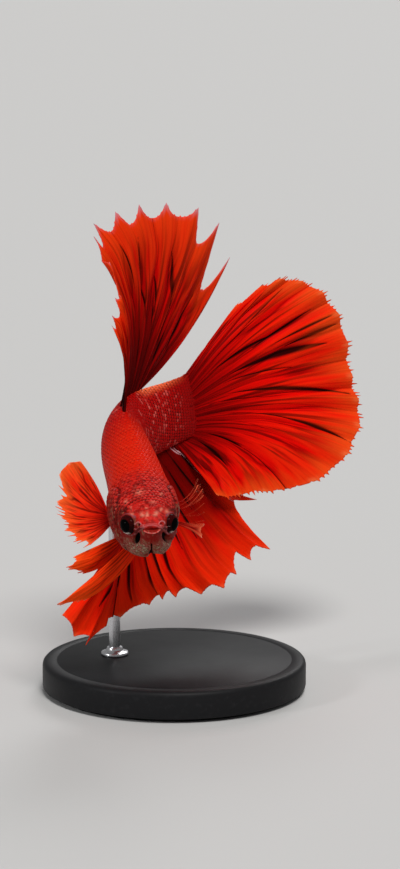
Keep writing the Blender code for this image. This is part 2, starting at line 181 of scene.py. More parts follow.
def through(table, at):
    """Smooth curve through the rows of a table, whose first column is the parameter."""
    table = np.asarray(table, float)
    x, y = table[:, 0], table[:, 1:]
    slope = np.gradient(y, x, axis=0)
    at = np.clip(np.asarray(at, float), x[0], x[-1])
    row = np.clip(np.searchsorted(x, at, side="right") - 1, 0, len(x) - 2)
    width = (x[row + 1] - x[row])[..., None]
    t = (at - x[row])[..., None] / width
    values = (2 * t**3 - 3 * t**2 + 1) * y[row] + (3 * t**2 - 2 * t**3) * y[row + 1]
    slopes = (t**3 - 2 * t**2 + t) * slope[row] + (t**3 - t**2) * slope[row + 1]
    return values + slopes * width


def heading(azimuth, elevation):
    a, e = np.radians(azimuth), np.radians(elevation)
    return np.stack([np.sin(a) * np.cos(e), np.cos(a) * np.cos(e), np.sin(e)], axis=-1)


def unit(vectors):
    return vectors / np.maximum(np.linalg.norm(vectors, axis=-1, keepdims=True), 1e-12)


def to_world(points):
    return (np.asarray(points) + SNOUT) * MM


def ease(low, high, at):
    """Smooth step from 0 at low to 1 at high."""
    t = np.clip((np.asarray(at, float) - low) / (high - low), 0, 1)
    return t * t * (3 - 2 * t)


def paired(station, other):
    """Both as arrays of one shape."""
    return np.broadcast_arrays(np.asarray(station, float), np.asarray(other, float))


STATIONS = np.arange(0, BODY_LENGTH + SPINE_STEP / 2, SPINE_STEP)
DIRECTIONS = heading(*through(SPINE, STATIONS).T)
STEPS = (DIRECTIONS[1:] + DIRECTIONS[:-1]) / 2 * SPINE_STEP
PLACES = np.vstack([np.zeros(3), np.cumsum(STEPS, axis=0)])


def spine(station):
    """Place on the spine, with the backward, left and up directions there."""
    place, back = (np.stack([np.interp(station, STATIONS, column) for column in rows.T], -1)
                   for rows in (PLACES, DIRECTIONS))
    back = unit(back)
    up = unit(np.array([0, 0, 1.0]) - back * back[..., 2:3])
    return place, back, np.cross(back, up), up


def body(station, angle, grow=0.0):
    """Point of the body's surface: angle 0 is the back, 90 the fish's left, 180 the belly."""
    station, angle = paired(station, np.radians(angle))
    place, _, left, up = spine(station)
    width, height, depth, ridge = np.moveaxis(through(BODY, station), -1, 0)
    over = np.cos(angle) > 0
    sharpness = np.where(over, ridge, BELLY_SHARPNESS)
    side = np.sign(np.sin(angle)) * np.abs(np.sin(angle)) ** sharpness * (width + grow)
    rise = np.where(over, height + grow, depth + grow) * np.cos(angle)
    return place + left * side[..., None] + up * rise[..., None]


# Rings along the body, even steps of the way round each of them, and steps of angle behind those
RINGS = 97
SHARES = 121
TURNS = 361


def way_round():
    """Angle at even steps of the way round the body, from back to belly."""
    stations, angles = np.linspace(0, BODY_LENGTH, RINGS), np.linspace(0, 180, TURNS)
    rings = body(*np.meshgrid(stations, angles, indexing="ij"))
    steps = np.linalg.norm(np.diff(rings, axis=1), axis=2)
    way = np.concatenate([np.zeros((len(stations), 1)), np.cumsum(steps, axis=1)], axis=1)
    shares = np.linspace(0, 1, SHARES)
    return np.stack([np.interp(shares, row / row[-1], angles) for row in way])


ANGLES = way_round()


def angle_at(station, share):
    """Angle of the point that lies this share of the way round: 0 is the back, 1 or -1 the belly."""
    station, share = paired(station, share)
    row = np.clip(station / BODY_LENGTH, 0, 1) * (RINGS - 1)
    column = np.clip(np.abs(share), 0, 1) * (SHARES - 1)
    r, c = np.minimum(row.astype(int), RINGS - 2), np.minimum(column.astype(int), SHARES - 2)
    fr, fc = row - r, column - c
    near = ANGLES[r, c] * (1 - fc) + ANGLES[r, c + 1] * fc
    far = ANGLES[r + 1, c] * (1 - fc) + ANGLES[r + 1, c + 1] * fc
    return np.sign(share) * (near * (1 - fr) + far * fr)


# ---- fins' layout

def on_middle(front, rear, angle):
    """Root along the back, at angle 0, or the belly, at 180."""
    return lambda u: body(front + (rear - front) * u, 0 * u + angle, GAP)


def on_side(side, station, angle, spread, lift):
    """Root across the flank: side is 1 for the fish's left and -1 for its right."""
    return lambda u: body(station + 0 * u, side * (angle + spread * (u - 0.5)), lift)


def at_tail_end(u):
    """Down the end of the tail root as far as its corner, then forward under it."""
    place, back, _, up = spine(np.full_like(u, BODY_LENGTH))
    down = np.minimum(u / CAUDAL_CORNER, 1)
    forward = np.maximum(u - CAUDAL_CORNER, 0) / (1 - CAUDAL_CORNER)
    rise = CAUDAL_HEIGHT[0] + (CAUDAL_HEIGHT[1] - CAUDAL_HEIGHT[0]) * down
    rise -= CAUDAL_DROP * np.sqrt(np.minimum(CAUDAL_BEND * forward, 1))
    return place + up * rise[:, None] + back * (GAP - (CAUDAL_WRAP + GAP) * forward)[:, None]


def even_spikes(lobes, notch):
    return [(k / lobes, notch if k < lobes else 0.0, 1.5) for k in range(lobes + 1)]


def edge(spikes, u):
    """How far along its ray the margin lies: 1 at a spike, less in the notch between two spikes."""
    spikes = np.asarray(spikes)
    gap = np.clip(np.searchsorted(spikes[:, 0], u, side="right") - 1, 0, len(spikes) - 2)
    across = (u - spikes[gap, 0]) / (spikes[gap + 1, 0] - spikes[gap, 0])
    off_middle = np.abs(2 * across - 1)
    return 1 - spikes[gap, 1] * (1 - off_middle ** spikes[gap, 2])


def ray_points(root, rays, u, v):
    """Points v of the way along the rays at u, which swing evenly from one heading to the other."""
    rays = np.asarray(rays, float)
    headings = [heading(rays[:, 2], rays[:, 3]), heading(rays[:, 4], rays[:, 5])]
    length, starts, ends = np.split(through(np.column_stack([rays[:, :2], *headings]), u), [1, 4], 1)
    swing = unit(starts) * (v - v**2 / 2)[:, None] + unit(ends) * (v**2 / 2)[:, None]
    return root(u) + swing * length


def web_normal(root, rays, u, v):
    along = ray_points(root, rays, u, v + NUDGE) - ray_points(root, rays, u, v)
    across = ray_points(root, rays, np.minimum(u + NUDGE, 1), v)
    across -= ray_points(root, rays, np.maximum(u - NUDGE, 0), v)
    return unit(np.cross(across, along))


# ---- mesh helpers

WELD = 1e-7


def deselect():
    bpy.ops.object.select_all(action="DESELECT")


def activate(thing):
    """Selects one object alone and makes it the active one."""
    deselect()
    thing.select_set(True)
    bpy.context.view_layer.objects.active = thing


def name_piece(thing, name):
    thing.name = name
    thing.data.name = name
    return thing


def corners(thing):
    flat = np.empty(len(thing.data.vertices) * 3, np.float32)
    thing.data.vertices.foreach_get("co", flat)
    return flat.reshape(-1, 3).astype(float)


def put(thing, points):
    """Moves a mesh's corners to points in metres."""
    thing.data.vertices.foreach_set("co", np.asarray(points, np.float32).ravel())
    thing.data.update()


def mark(thing, **values):
    """Keeps values at a mesh's corners, for its material to read."""
    for name, value in values.items():
        layer = thing.data.attributes.new(name, "FLOAT", "POINT")
        layer.data.foreach_set("value", np.asarray(value, np.float32).ravel())


def flat_sheet(name, columns, rows):
    """Flat sheet of faces, with the place of each corner on it, from 0 to 1 both ways."""
    deselect()
    bpy.ops.mesh.primitive_grid_add(x_subdivisions=columns, y_subdivisions=rows, size=1)
    sheet = name_piece(bpy.context.object, name)
    place = corners(sheet)[:, :2] + 0.5
    return sheet, place[:, 0], place[:, 1]


def rounded(a, b):
    """Places of a square sheet's corners on a disc, from -1 to 1 both ways."""
    across, along = 2 * a - 1, 2 * b - 1
    return across * np.sqrt(1 - along**2 / 2), along * np.sqrt(1 - across**2 / 2)


def edit(thing, *operators):
    """Runs edit mode operators on the whole of a mesh."""
    activate(thing)
    bpy.ops.object.mode_set(mode="EDIT")
    bpy.ops.mesh.select_all(action="SELECT")
    for operator, settings in operators:
        operator(**settings)
    bpy.ops.object.mode_set(mode="OBJECT")


def face_out(thing, weld=WELD):
    """Joins a mesh's doubles, faces it outwards and shades it smooth."""
    welding = [(bpy.ops.mesh.remove_doubles, {"threshold": weld})] if weld else []
    edit(thing, *welding, (bpy.ops.mesh.normals_make_consistent, {"inside": False}))
    thing.data.shade_smooth()
    return thing


def apply(thing, kind, **settings):
    """Adds a modifier and applies it."""
    modifier = thing.modifiers.new(kind.title(), kind)
    for key, value in settings.items():
        setattr(modifier, key, value)
    activate(thing)
    bpy.ops.object.modifier_apply(modifier=modifier.name)


def give_material(thing, material):
    thing.data.materials.clear()
    thing.data.materials.append(material)


def finish_piece(thing, material, slot, *nodes):
    give_material(thing, material)
    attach(thing, "root")
    if nodes:
        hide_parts(*nodes)


# ---- material helpers

class Field:
    """A value that varies over a surface; arithmetic on it adds Math nodes."""

    def __init__(self, finish, socket):
        self.finish = finish
        self.socket = socket

    def math(self, operation, *values):
        return self.finish.node("Math", {"operation": operation}, dict(enumerate(values)))

    def __add__(self, other):
        return self.math("ADD", self, other)

    def __radd__(self, other):
        return self.math("ADD", other, self)

    def __sub__(self, other):
        return self.math("SUBTRACT", self, other)

    def __rsub__(self, other):
        return self.math("SUBTRACT", other, self)

    def __mul__(self, other):
        return self.math("MULTIPLY", self, other)

    def __rmul__(self, other):
        return self.math("MULTIPLY", other, self)

    def __abs__(self):
        return self.math("ABSOLUTE", self)

    def sine(self):
        return self.math("SINE", self)

    def over(self, other):
        return self.math("MAXIMUM", self, other)

    def within(self, low, high):
        """Smooth step from 0 at low to 1 at high."""
        inputs = {0: self, 1: low, 2: high}
        return self.finish.node("MapRange", {"interpolation_type": "SMOOTHSTEP"}, inputs)


class Finish:
    """One material and its nodes."""

    def __init__(self, name):
        self.material = bpy.data.materials.new(name)
        self.material.use_nodes = True
        self.tree = self.material.node_tree
        self.tree.nodes.clear()

    def node(self, kind, settings=None, inputs=None, output=0):
        """Adds a node: its settings first, then the values or links of its sockets."""
        made = self.tree.nodes.new("ShaderNode" + kind)
        for key, value in (settings or {}).items():
            setattr(made, key, value)
        for key, value in (inputs or {}).items():
            if isinstance(value, Field):
                self.tree.links.new(value.socket, made.inputs[key])
            else:
                made.inputs[key].default_value = value
        return None if output is None else Field(self, made.outputs[output])

    def place(self):
        return self.node("TexCoord", output="Object")

    def mark(self, name):
        return self.node("Attribute", {"attribute_name": name}, output="Fac")

    def marks(self, names):
        return [self.mark(name) for name in names.split()]

    def mix(self, share, first, second):
        """Colour between two colours."""
        ends = [value if isinstance(value, Field) else (*value, 1) for value in (first, second)]
        inputs = {0: share, 6: ends[0], 7: ends[1]}
        return self.node("Mix", {"data_type": "RGBA"}, inputs, output=2)

    def coats(self, colour, *coats):
        """Colour under coats of a share and a tint each, laid one over another."""
        for share, tint in coats:
            colour = self.mix(share, colour, tint)
        return colour

    def noise(self, size, detail=2.0, vector=None):
        """Noise from 0 to 1 whose features are this many millimetres across."""
        inputs = {"Vector": vector or self.place(), "Scale": 1 / (size * MM), "Detail": detail}
        return self.node("TexNoise", None, inputs)

    def cells(self, size, feature, output):
        """Small cells of this many millimetres: a chance value for each, or the distance to its edge."""
        inputs = {"Vector": self.place(), "Scale": 1 / (size * MM)}
        return self.node("TexVoronoi", {"feature": feature}, inputs, output=output)

    def stretched(self, across, out, detail=2.0):
        """Noise from 0 to 1 along a fin's rays, with so many features across and along them."""
        place = {0: self.mark("across") * across, 1: self.mark("out") * out}
        vector = self.node("CombineXYZ", None, place)
        return self.node("TexNoise", None, {"Vector": vector, "Scale": 1.0, "Detail": detail})

    def principled(self, **inputs):
        inputs = {key.replace("_", " "): value for key, value in inputs.items()}
        return self.node("BsdfPrincipled", None, inputs)

    def bump(self, height, distance, strength=1.0):
        inputs = {"Height": height, "Distance": distance * MM, "Strength": strength}
        return self.node("Bump", None, inputs)

    def done(self, shader=None, **inputs):
        """The material, ended by a shader or by a plain one with these inputs."""
        self.node("OutputMaterial", None, {"Surface": shader or self.principled(**inputs)}, output=None)
        return self.material


# ---- skin

SNOUT_ROWS = 26
BODY_ROWS = 268
TAIL_ROWS = 12
AROUND = 256
# Share of the rows' spacing that is even; the rest of it grows towards the tail
EVEN_ROWS = 0.35
SNOUT_BULGE = 0.35
TAIL_WEDGE = 2.8
TAIL_SPREAD = 0.1
FACE_LEAN = 10.0
FACE_END = 9.5
# Points taken along a curve for each point of its path
CURVE_STEPS = 12

# The face is laid out on a plane that leans back by FACE_LEAN: to the fish's left, and up.
UPPER_LIP = [(-1.45, 0.42), (-0.7, 0.68), (0.1, 0.76), (0.8, 0.62), (1.35, 0.38)]
LOWER_LIP = [(-1.2, -0.12), (-0.6, -0.34), (0.1, -0.42), (0.7, -0.3), (1.2, 0.0)]
JAW_BARS = [[(-1.4, 0.5), (-1.95, 0.1), (-2.6, -0.5)], [(1.35, 0.6), (1.9, 0.2), (2.55, -0.3)]]
MOUTH = ((0.0, 0.12), (1.05, 0.26), 0.0)
NOSTRILS = [(-2.1, 0.68), (1.5, 0.85)]
NOSTRIL_RADIUS = 0.46
JAW_HOLLOWS = [((-2.45, -1.5), (0.48, 1.0), -14.0), ((2.05, -1.4), (0.44, 0.95), 12.0)]
HOLLOW_FADE = (4.0, 5.6)
JOWL = ((3.2, -1.3), (0.8, 1.6), 0.0)
CHIN = ((0.0, -1.35), (1.3, 0.8), 0.0)
THROAT_LOBES = [((-2.0, -3.0), (1.95, 1.15), 10.0), ((1.6, -2.85), (1.8, 1.25), -10.0)]
CLEFT = [(-0.12, -2.25), (-0.13, -3.0), (-0.2, -4.3)]
# Pale blotches on the forehead: middle, half width and half height, turn
BLOTCHES = [
    ((-1.5, 2.3), (0.4, 0.3), 0), ((-0.75, 2.2), (0.26, 0.5), 0), ((0.55, 2.45), (0.42, 0.3), 20),
    ((1.4, 3.0), (0.22, 0.25), 0), ((2.3, 2.7), (0.35, 0.3), -30), ((-3.2, 2.25), (0.3, 0.3), 30),
    ((-3.4, 3.2), (0.24, 0.2), 40), ((-4.0, 4.1), (0.25, 0.32), 20), ((0.15, 4.2), (0.4, 0.2), 0),
    ((-1.95, 5.5), (0.6, 0.32), 12), ((-2.2, 7.1), (0.22, 0.5), 0), ((0.55, 6.6), (0.32, 0.26), 0),
    ((-1.65, 8.5), (0.26, 0.4), 0), ((-2.6, 6.3), (0.2, 0.16), 0), ((1.3, 5.2), (0.22, 0.16), 20),
    ((-0.9, 3.3), (0.2, 0.14), 0), ((1.7, 6.9), (0.16, 0.3), 10), ((0.4, 8.6), (0.2, 0.26), 0),
]
# Height of each form of the face over the body
FACE_HEIGHTS = {"upper_lip": 0.34, "lower_lip": 0.34, "bar": 0.26, "chin": 0.2, "left_lobe": 0.34,
                "right_lobe": 0.7, "jowl": 0.5, "mouth": -0.9, "pits": -0.95, "cleft": -0.6}
NOSTRIL_RIM = 0.12
NOSTRIL_DEPTH = 0.4
GILL_PLATE = 0.22
GILL_RIM = 0.1
GILL_GROOVE = 0.3
# The skin by an eye: height of the lid, depth behind the ball, space round it, then the distances
# from the ball at which the skin starts and ends its way back to the body's form
LID_HEIGHT = 0.14
SOCKET_DEPTH = 0.35
EYE_CLEARANCE = 0.03
EYE_BLEND = (0.3, 1.0)
# How far from an eye's ball the scales stay
EYE_MARGIN = 0.6


def form(station, share):
    """Point of the outer form, which past the body's end closes over the tail fin's root."""
    station, share = paired(station, share)
    past = np.clip(station - BODY_LENGTH, 0, TAIL_WEDGE) / TAIL_WEDGE
    at = np.minimum(station, BODY_LENGTH)
    place, back, left, up = spine(at)
    off = body(at, angle_at(at, share)) - place
    side = (off * left).sum(-1) * (1 - past)
    rise = (off * up).sum(-1) * (1 + TAIL_SPREAD * past)
    return place + left * side[..., None] + up * rise[..., None] + back * (TAIL_WEDGE * past)[..., None]


def skin_lattice():
    """Rows of rings from the snout's tip to the tail's end: points, station and share of each."""
    cap = np.linspace(0, 1, SNOUT_ROWS + 1)[:-1]
    spread = np.linspace(0, 1, BODY_ROWS + 1)
    stations = BODY_LENGTH * (EVEN_ROWS * spread + (1 - EVEN_ROWS) * spread**2)
    past = BODY_LENGTH + TAIL_WEDGE * np.linspace(0, 1, TAIL_ROWS + 1)[1:]
    station = np.concatenate([0 * cap, stations, past])
    narrow = np.concatenate([cap, 0 * stations + 1, 0 * past + 1])[:, None, None]
    bulge = np.concatenate([-SNOUT_BULGE * (1 - cap**2), 0 * stations, 0 * past])[:, None, None]
    station, share = np.meshgrid(station, np.linspace(-1, 1, AROUND + 1), indexing="ij")
    place, back, _, _ = spine(np.minimum(station, BODY_LENGTH))
    return place + (form(station, share) - place) * narrow + back * bulge, station, share


def lattice_normals(points):
    """Outward directions at the points of a closed lattice of rings."""
    down = np.gradient(points, axis=0)
    loop = np.concatenate([points[:, -2:-1], points, points[:, 1:2]], axis=1)
    across = np.gradient(loop, axis=1)[:, 1:-1]
    normals = unit(np.cross(across, down))
    normals[0], normals[-1] = normals[1].mean(axis=0), normals[-2].mean(axis=0)
    return unit(normals)


def on_face(points):
    """Place on the leaning plane of the face."""
    lean = np.radians(FACE_LEAN)
    return points[..., 0], points[..., 2] * np.cos(lean) + points[..., 1] * np.sin(lean)


def distance_to(path, x, z):
    """Distance of the points from a smooth curve through the path's points."""
    path = np.asarray(path, float)
    t = np.linspace(0, len(path) - 1, CURVE_STEPS * len(path))
    curve = through(np.column_stack([np.arange(len(path)), path]), t)
    nearest = np.full(x.shape, np.inf)
    for cx, cz in curve:
        nearest = np.minimum(nearest, (x - cx) ** 2 + (z - cz) ** 2)
    return np.sqrt(nearest)


def oval(spot, x, z):
    """Distance from the middle of an oval: 1 on its outline."""
    (cx, cz), (half_x, half_z), tilt = spot
    c, s = np.cos(np.radians(tilt)), np.sin(np.radians(tilt))
    across, up = (x - cx) * c + (z - cz) * s, (z - cz) * c - (x - cx) * s
    return np.hypot(across / half_x, up / half_z)


def mound(distance, reach):
    return np.exp(-(distance / reach) ** 2)


def gill_depth(station, angle):
    """Distance inside the gill cover's outline, negative outside it."""
    a = (station - GILL_FRONT) / GILL_LENGTH
    spread = GILL_HALF_SPREAD * (1 - GILL_ROUNDING * (2 * np.clip(a, 0, 1) - 1) ** 2)
    off = np.radians(spread - np.abs(np.abs(angle) - GILL_MIDDLE)) * GILL_CURVATURE
    return np.minimum(np.minimum(a, 1 - a) * GILL_LENGTH, off)


def eye_centre(side):
    place, _, left, up = spine(EYE_STATION)
    return place + left * EYE_SIDE * side + up * EYE_RISE


def face_relief(points, station):
    """Height of the face's forms over the body, and marks of where each of them lies."""
    x, z = on_face(points)
    near = 1 - ease(FACE_END - 3, FACE_END, station)
    upper, lower = distance_to(UPPER_LIP, x, z), distance_to(LOWER_LIP, x, z)
    mouth = mound(oval(MOUTH, x, z), 0.95)
    chin = mound(oval(CHIN, x, z), 0.95)
    cleft = mound(distance_to(CLEFT, x, z), 0.1 + 0.3 * ease(3.0, 4.2, -z))
    bar = np.min([distance_to(path, x, z) for path in JAW_BARS], axis=0)
    left_lobe, right_lobe = (1 - ease(0.5, 1.25, oval(spot, x, z)) for spot in THROAT_LOBES)
    jowl = 1 - ease(0.5, 1.3, oval(JOWL, x, z))
    pits = np.max([1 - ease(0.7, 1.15, oval(spot, x, z)) for spot in JAW_HOLLOWS], axis=0)
    pits *= 1 - ease(*HOLLOW_FADE, station)
    blotch = np.max([mound(oval(spot, x, z), 1.0) for spot in BLOTCHES], axis=0)
    forms = {"upper_lip": mound(upper, 0.26), "lower_lip": mound(lower, 0.15), "jowl": jowl,
             "bar": 1 - ease(0.12, 0.3, bar), "chin": chin, "left_lobe": left_lobe,
             "right_lobe": right_lobe, "mouth": mouth, "pits": pits, "cleft": cleft}
    height = sum(FACE_HEIGHTS[word] * form for word, form in forms.items())
    hollow = np.maximum(np.maximum(mouth, pits), 0.9 * cleft)
    # Painted highlights: marks of the glints along the jaw bars' edges, the nostrils' horseshoe rims and the
    # upper lip's edge
    rim_glints = 0.6 * mound(bar - 0.25, 0.05) * (1 - pits)
    for cx, cz in NOSTRILS:
        off = np.hypot(x - cx, z - cz)
        horseshoe = ease(-0.2, 0.1, z - cz)
        rim_glints = np.maximum(rim_glints, mound(off - NOSTRIL_RADIUS, 0.06) * horseshoe)
        hollow = np.maximum(hollow, 0.8 * mound(off, 0.28))
        height += NOSTRIL_RIM * mound(off - NOSTRIL_RADIUS, 0.12) * horseshoe
        height -= NOSTRIL_DEPTH * mound(off, 0.22)
    rim_glints = np.maximum(rim_glints, 0.45 * mound(upper - 0.12, 0.05))
    marks = {"upper_lip": mound(upper, 0.24), "lower_lip": mound(lower, 0.075), "rim": rim_glints,
             "bar": 1 - ease(0.13, 0.24, bar), "hollow": hollow, "chin": chin, "blotch": blotch,
             "lobe": np.maximum(left_lobe, right_lobe) * (1 - cleft)}
    return height * near, {word: value * near for word, value in marks.items()}


def eye_axes(side):
    """Directions of an eye: where it looks, up, and across."""
    _, back, left, up = spine(EYE_STATION)
    turn = np.radians(EYE_FORWARD)
    gaze = unit(left * side * np.cos(turn) - back * np.sin(turn) + up * EYE_UPWARD)
    across = unit(np.cross(up, gaze))
    return gaze, np.cross(gaze, across), across


def seat_eyes(points):
    """Draws the skin in behind each eyeball and folds it up round the opening."""
    lids = np.zeros(points.shape[:-1])
    for side in SIDES:
        centre, gaze = eye_centre(side), eye_axes(side)[0]
        off = points - centre
        far = np.linalg.norm(off, axis=-1)
        turn = np.degrees(np.arccos(np.clip((off @ gaze) / np.maximum(far, 1e-9), -1, 1)))
        near = 1 - ease(*EYE_BLEND, far - EYE_RADIUS)
        inside = 1 - ease(EYE_OPENING - 7, EYE_OPENING, turn)
        fold = mound(turn - EYE_OPENING - 5, 6)
        lids = np.maximum(lids, fold * near)
        wanted = np.maximum(far, EYE_RADIUS + EYE_CLEARANCE) + LID_HEIGHT * fold
        wanted += inside * (EYE_RADIUS - SOCKET_DEPTH - wanted)
        points = centre + off * (1 + near * (wanted / far - 1))[..., None]
    return points, lids


def gill_relief(station, angle):
    depth = gill_depth(station, angle)
    plate, rim = GILL_PLATE * ease(0, 0.7, depth), GILL_RIM * mound(depth - 0.15, 0.18)
    groove = GILL_GROOVE * mound(depth + 0.18, 0.2)
    return (plate + rim - groove) * ease(GILL_FRONT - 1, GILL_FRONT + 0.4, station)


def make_skin(settings):
    points, station, share = skin_lattice()
    angle = angle_at(station, share)
    face, marks = face_relief(points, station)
    height = face + gill_relief(station, angle) - settings.coat_depth / MM
    shaped, lids = seat_eyes(points + lattice_normals(points) * height[..., None])

    rows = points.shape[0] - 1
    thing, a, b = flat_sheet("skin", AROUND, rows)
    i, j = np.rint(b * rows).astype(int), np.rint(a * AROUND).astype(int)
    put(thing, to_world(shaped[i, j]))
    marks.update(lid=lids, along=station, belly=np.abs(angle) / 180, plate=gill_depth(station, angle))
    mark(thing, **{word: value[i, j] for word, value in marks.items()})
    return face_out(thing)


# ---- scales

# Scales in a ring, by the station that each count starts at
SCALES_AROUND = [(0, 48), (13, 56), (28.5, 44)]
SCALE_FACES = (5, 5)
SCALE_REACH = (0.66, 1.0)
SCALE_PITCHES = ([3.5, 6, 10, 14, 26, 31, 50], [0.44, 0.54, 0.62, 0.6, 0.6, 0.7, 0.66])
SCALES_END = 50.2
# Smallest and largest scale, against the space of one
SCALE_SIZES = (0.9, 1.08)
# How much of a scale's lift its root has, and how much of its rise it has where the scales begin
ROOT_LIFT = 0.15
SETTLED = 0.3
# Side of one scale's patch on the unwrapped sheet, and the weld of its corners in its own size
SCALE_PATCH = 0.003
SCALE_WELD = 1e-5
SCALE_BANDS = {
    "head": (0, 13),
    "shoulders": (13, 20.5),
    "trunk": (20.5, 28.5),
    "flanks": (28.5, 39.5),
    "tail_root": (39.5, SCALES_END + 1),
}
# Where the scales begin, by the share of the way round from back to belly
SCALES_START = ([0, 0.3, 0.5, 0.75, 1], [3.6, 4.4, 6.4, 8.4, 9.4])


def scale_shape(settings):
    """One scale: a thin domed shield, with its root at the front and its free edge behind."""
    thing, a, b = flat_sheet("scale", *SCALE_FACES)
    side, run = rounded(a, b)
    lift = settings.scale_lift / MM * (ROOT_LIFT + (1 - ROOT_LIFT) * b)
    put(thing, np.column_stack([side, run, lift - settings.scale_dome / MM * side**2]))
    apply(thing, "SOLIDIFY", thickness=settings.scale_thickness / MM, offset=-1)
    face_out(thing, SCALE_WELD)
    shape, faces = corners(thing), [tuple(face.vertices) for face in thing.data.polygons]
    bpy.data.objects.remove(thing, do_unlink=True)
    return shape, faces


def scales_start(share):
    return np.interp(np.abs(share), *SCALES_START)


def scale_roots(seed):
    """Station, share, pitch and width of every scale, in staggered rows with ragged ends."""
    random = np.random.default_rng(seed)
    roots = []
    station, odd = SCALES_START[1][0] - 1, 0
    while station < SCALES_END:
        pitch = np.interp(station, *SCALE_PITCHES)
        around = [count for start, count in SCALES_AROUND if start <= station][-1]
        share = (2 * (np.arange(around) + 0.5 * odd) / around + 1) % 2 - 1
        points = form(station, share)
        off_eye = np.min([np.linalg.norm(points - eye_centre(side), axis=1) for side in SIDES], axis=0)
        ragged = random.uniform(-1, 1, around)
        chosen = (station + ragged > scales_start(share)) & (off_eye > EYE_RADIUS + EYE_MARGIN)
        chosen &= station + 1.5 * ragged < SCALES_END - 1
        roots += [(station, where, pitch, 2 / around) for where in share[chosen]]
        station, odd = station + pitch, 1 - odd
    return np.array(roots)


def lay_scales(name, roots, shape, faces, settings, seed):
    """Joined mesh of scales that follow the body from their roots backwards."""
    random = np.random.default_rng(seed)
    count, corners_each = len(roots), len(shape)
    station, share, pitch, width = (roots[:, k, None] for k in range(4))
    size = random.uniform(*SCALE_SIZES, (count, 1))
    tilt = random.normal(0, settings.scale_tilt, (count, 1))
    side, run, lift = shape.T
    at = np.clip(station + pitch * SCALE_REACH[1] * size * run, 0, BODY_LENGTH + TAIL_WEDGE)
    across = (share + width * SCALE_REACH[0] * size * side + 1) % 2 - 1
    base, angle = form(at, across), angle_at(at, across)
    along = form(at + 10 * NUDGE, across) - form(at - 10 * NUDGE, across)
    around = form(at, across + NUDGE) - form(at, across - NUDGE)
    inward = ease(0, 2.5, station - scales_start(share)) * (1 - ease(SCALES_END - 2, SCALES_END, station))
    settle = SETTLED + (1 - SETTLED) * inward
    face, marks = face_relief(base, at)
    rise = (lift + tilt * side * pitch) * settle - settings.coat_depth / MM
    rise += face + gill_relief(at, angle)
    points = base + unit(np.cross(around, along)) * rise[..., None]

    mesh = bpy.data.meshes.new(name)
    every = [tuple(n * corners_each + c for c in face) for n in range(count) for face in faces]
    mesh.from_pydata(to_world(points.reshape(-1, 3)).tolist(), [], every)
    thing = bpy.data.objects.new(name, mesh)
    bpy.context.scene.collection.objects.link(thing)
    whole = np.ones((1, corners_each))
    mark(thing, along=at, belly=np.abs(angle) / 180, plate=gill_depth(at, angle), lobe=marks["lobe"],
         blotch=marks["blotch"], tip=(run + 1) / 2 + 0 * at, side=np.abs(side) + 0 * at,
         settle=settle * whole, tone=random.uniform(0, 1, (count, 1)) * whole)
    unwrap = mesh.uv_layers.new(name="OFBake")
    centre = np.column_stack([(roots[:, 1] + 1) / 2, roots[:, 0] / (BODY_LENGTH + TAIL_WEDGE)])
    spots = centre[:, None] + SCALE_PATCH / 2 * np.stack([side, run], axis=1)[None]
    loops = np.array([corner for face in every for corner in face])
    unwrap.data.foreach_set("uv", spots.reshape(-1, 2)[loops].astype(np.float32).ravel())
    thing.data.shade_smooth()
    return thing


# ---- eyes

EYE_SEGMENTS = 96
EYE_RINGS = 64
PUPIL_EDGE = 37.0
IRIS_EDGE = 66.0
# Rise of the clear front over the ball and its spread in degrees, and the same of the iris's groove
CORNEA = (0.05, 34)
IRIS_GROOVE = (0.012, 4)


def make_eye(side, word):
    deselect()
    bpy.ops.mesh.primitive_uv_sphere_add(segments=EYE_SEGMENTS, ring_count=EYE_RINGS, radius=1)
    thing = name_piece(bpy.context.object, "eyeball_" + word)
    local = corners(thing)
    off = np.degrees(np.arccos(np.clip(local[:, 2], -1, 1)))
    spoke = np.arctan2(local[:, 1], local[:, 0])
    radius = 1 + CORNEA[0] * mound(off, CORNEA[1])
    radius -= IRIS_GROOVE[0] * mound(off - IRIS_EDGE, IRIS_GROOVE[1])
    gaze, up, across = eye_axes(side)
    shaped = local[:, :1] * across + local[:, 1:2] * up + local[:, 2:] * gaze
    put(thing, to_world(eye_centre(side) + shaped * EYE_RADIUS * radius[:, None]))
    mark(thing, off=off, spoke=spoke)
    return face_out(thing)


# ---- fins

FORKS = (0.22, 0.5, 0.74)
RAY_WIDTHS = (0.16, 0.04)
CREASE_DEPTH = 0.2
# Thickness of a web between its rays, against that of a ray, and how much of it is lost at the margin
BETWEEN_RAYS = 0.35
TAPER = 0.6
THICKNESS_STEPS = 20
# How the rows crowd towards the margin, and how far out its fringe and its lean begin
CROWDING = 1.15
FRINGE_START = 0.86
LEAN_START = 0.75
# Shortest and longest thread of a fringe, against its usual one
FRINGE_LENGTHS = (-0.3, 1.0)
# Swells of a whole web: how many to each space between two rays, and how each leans along them
SWELLS = ((0.31, 1), (0.53, -1), (1.37, 0.6))


def ray_phase(spikes, u):
    """Share of the space between two rays by which a place is off the nearest one, and its number."""
    turns = np.interp(u, [row[0] for row in spikes], np.arange(len(spikes)))
    return turns - np.rint(turns), turns


def off_branch(phase, v, forks):
    """Distance from the nearest branch of the nearest ray: each fork parts a branch in two."""
    off, part = np.abs(phase), 0.25
    for start in forks:
        off = np.abs(off - part * ease(start, 1, v))
        part /= 2
    return off


def crease_depth(creases, turns, v):
    """How far into a fold each place lies; a fold is widest halfway along it."""
    deepest = np.zeros_like(v)
    for start, end, near, far, half in creases:
        t = np.clip((v - near) / (far - near), 0, 1)
        across = (turns - start - (end - start) * t) / (half * np.sin(np.pi * t) + 1e-6)
        deepest = np.maximum(deepest, np.exp(-across**2))
    return deepest


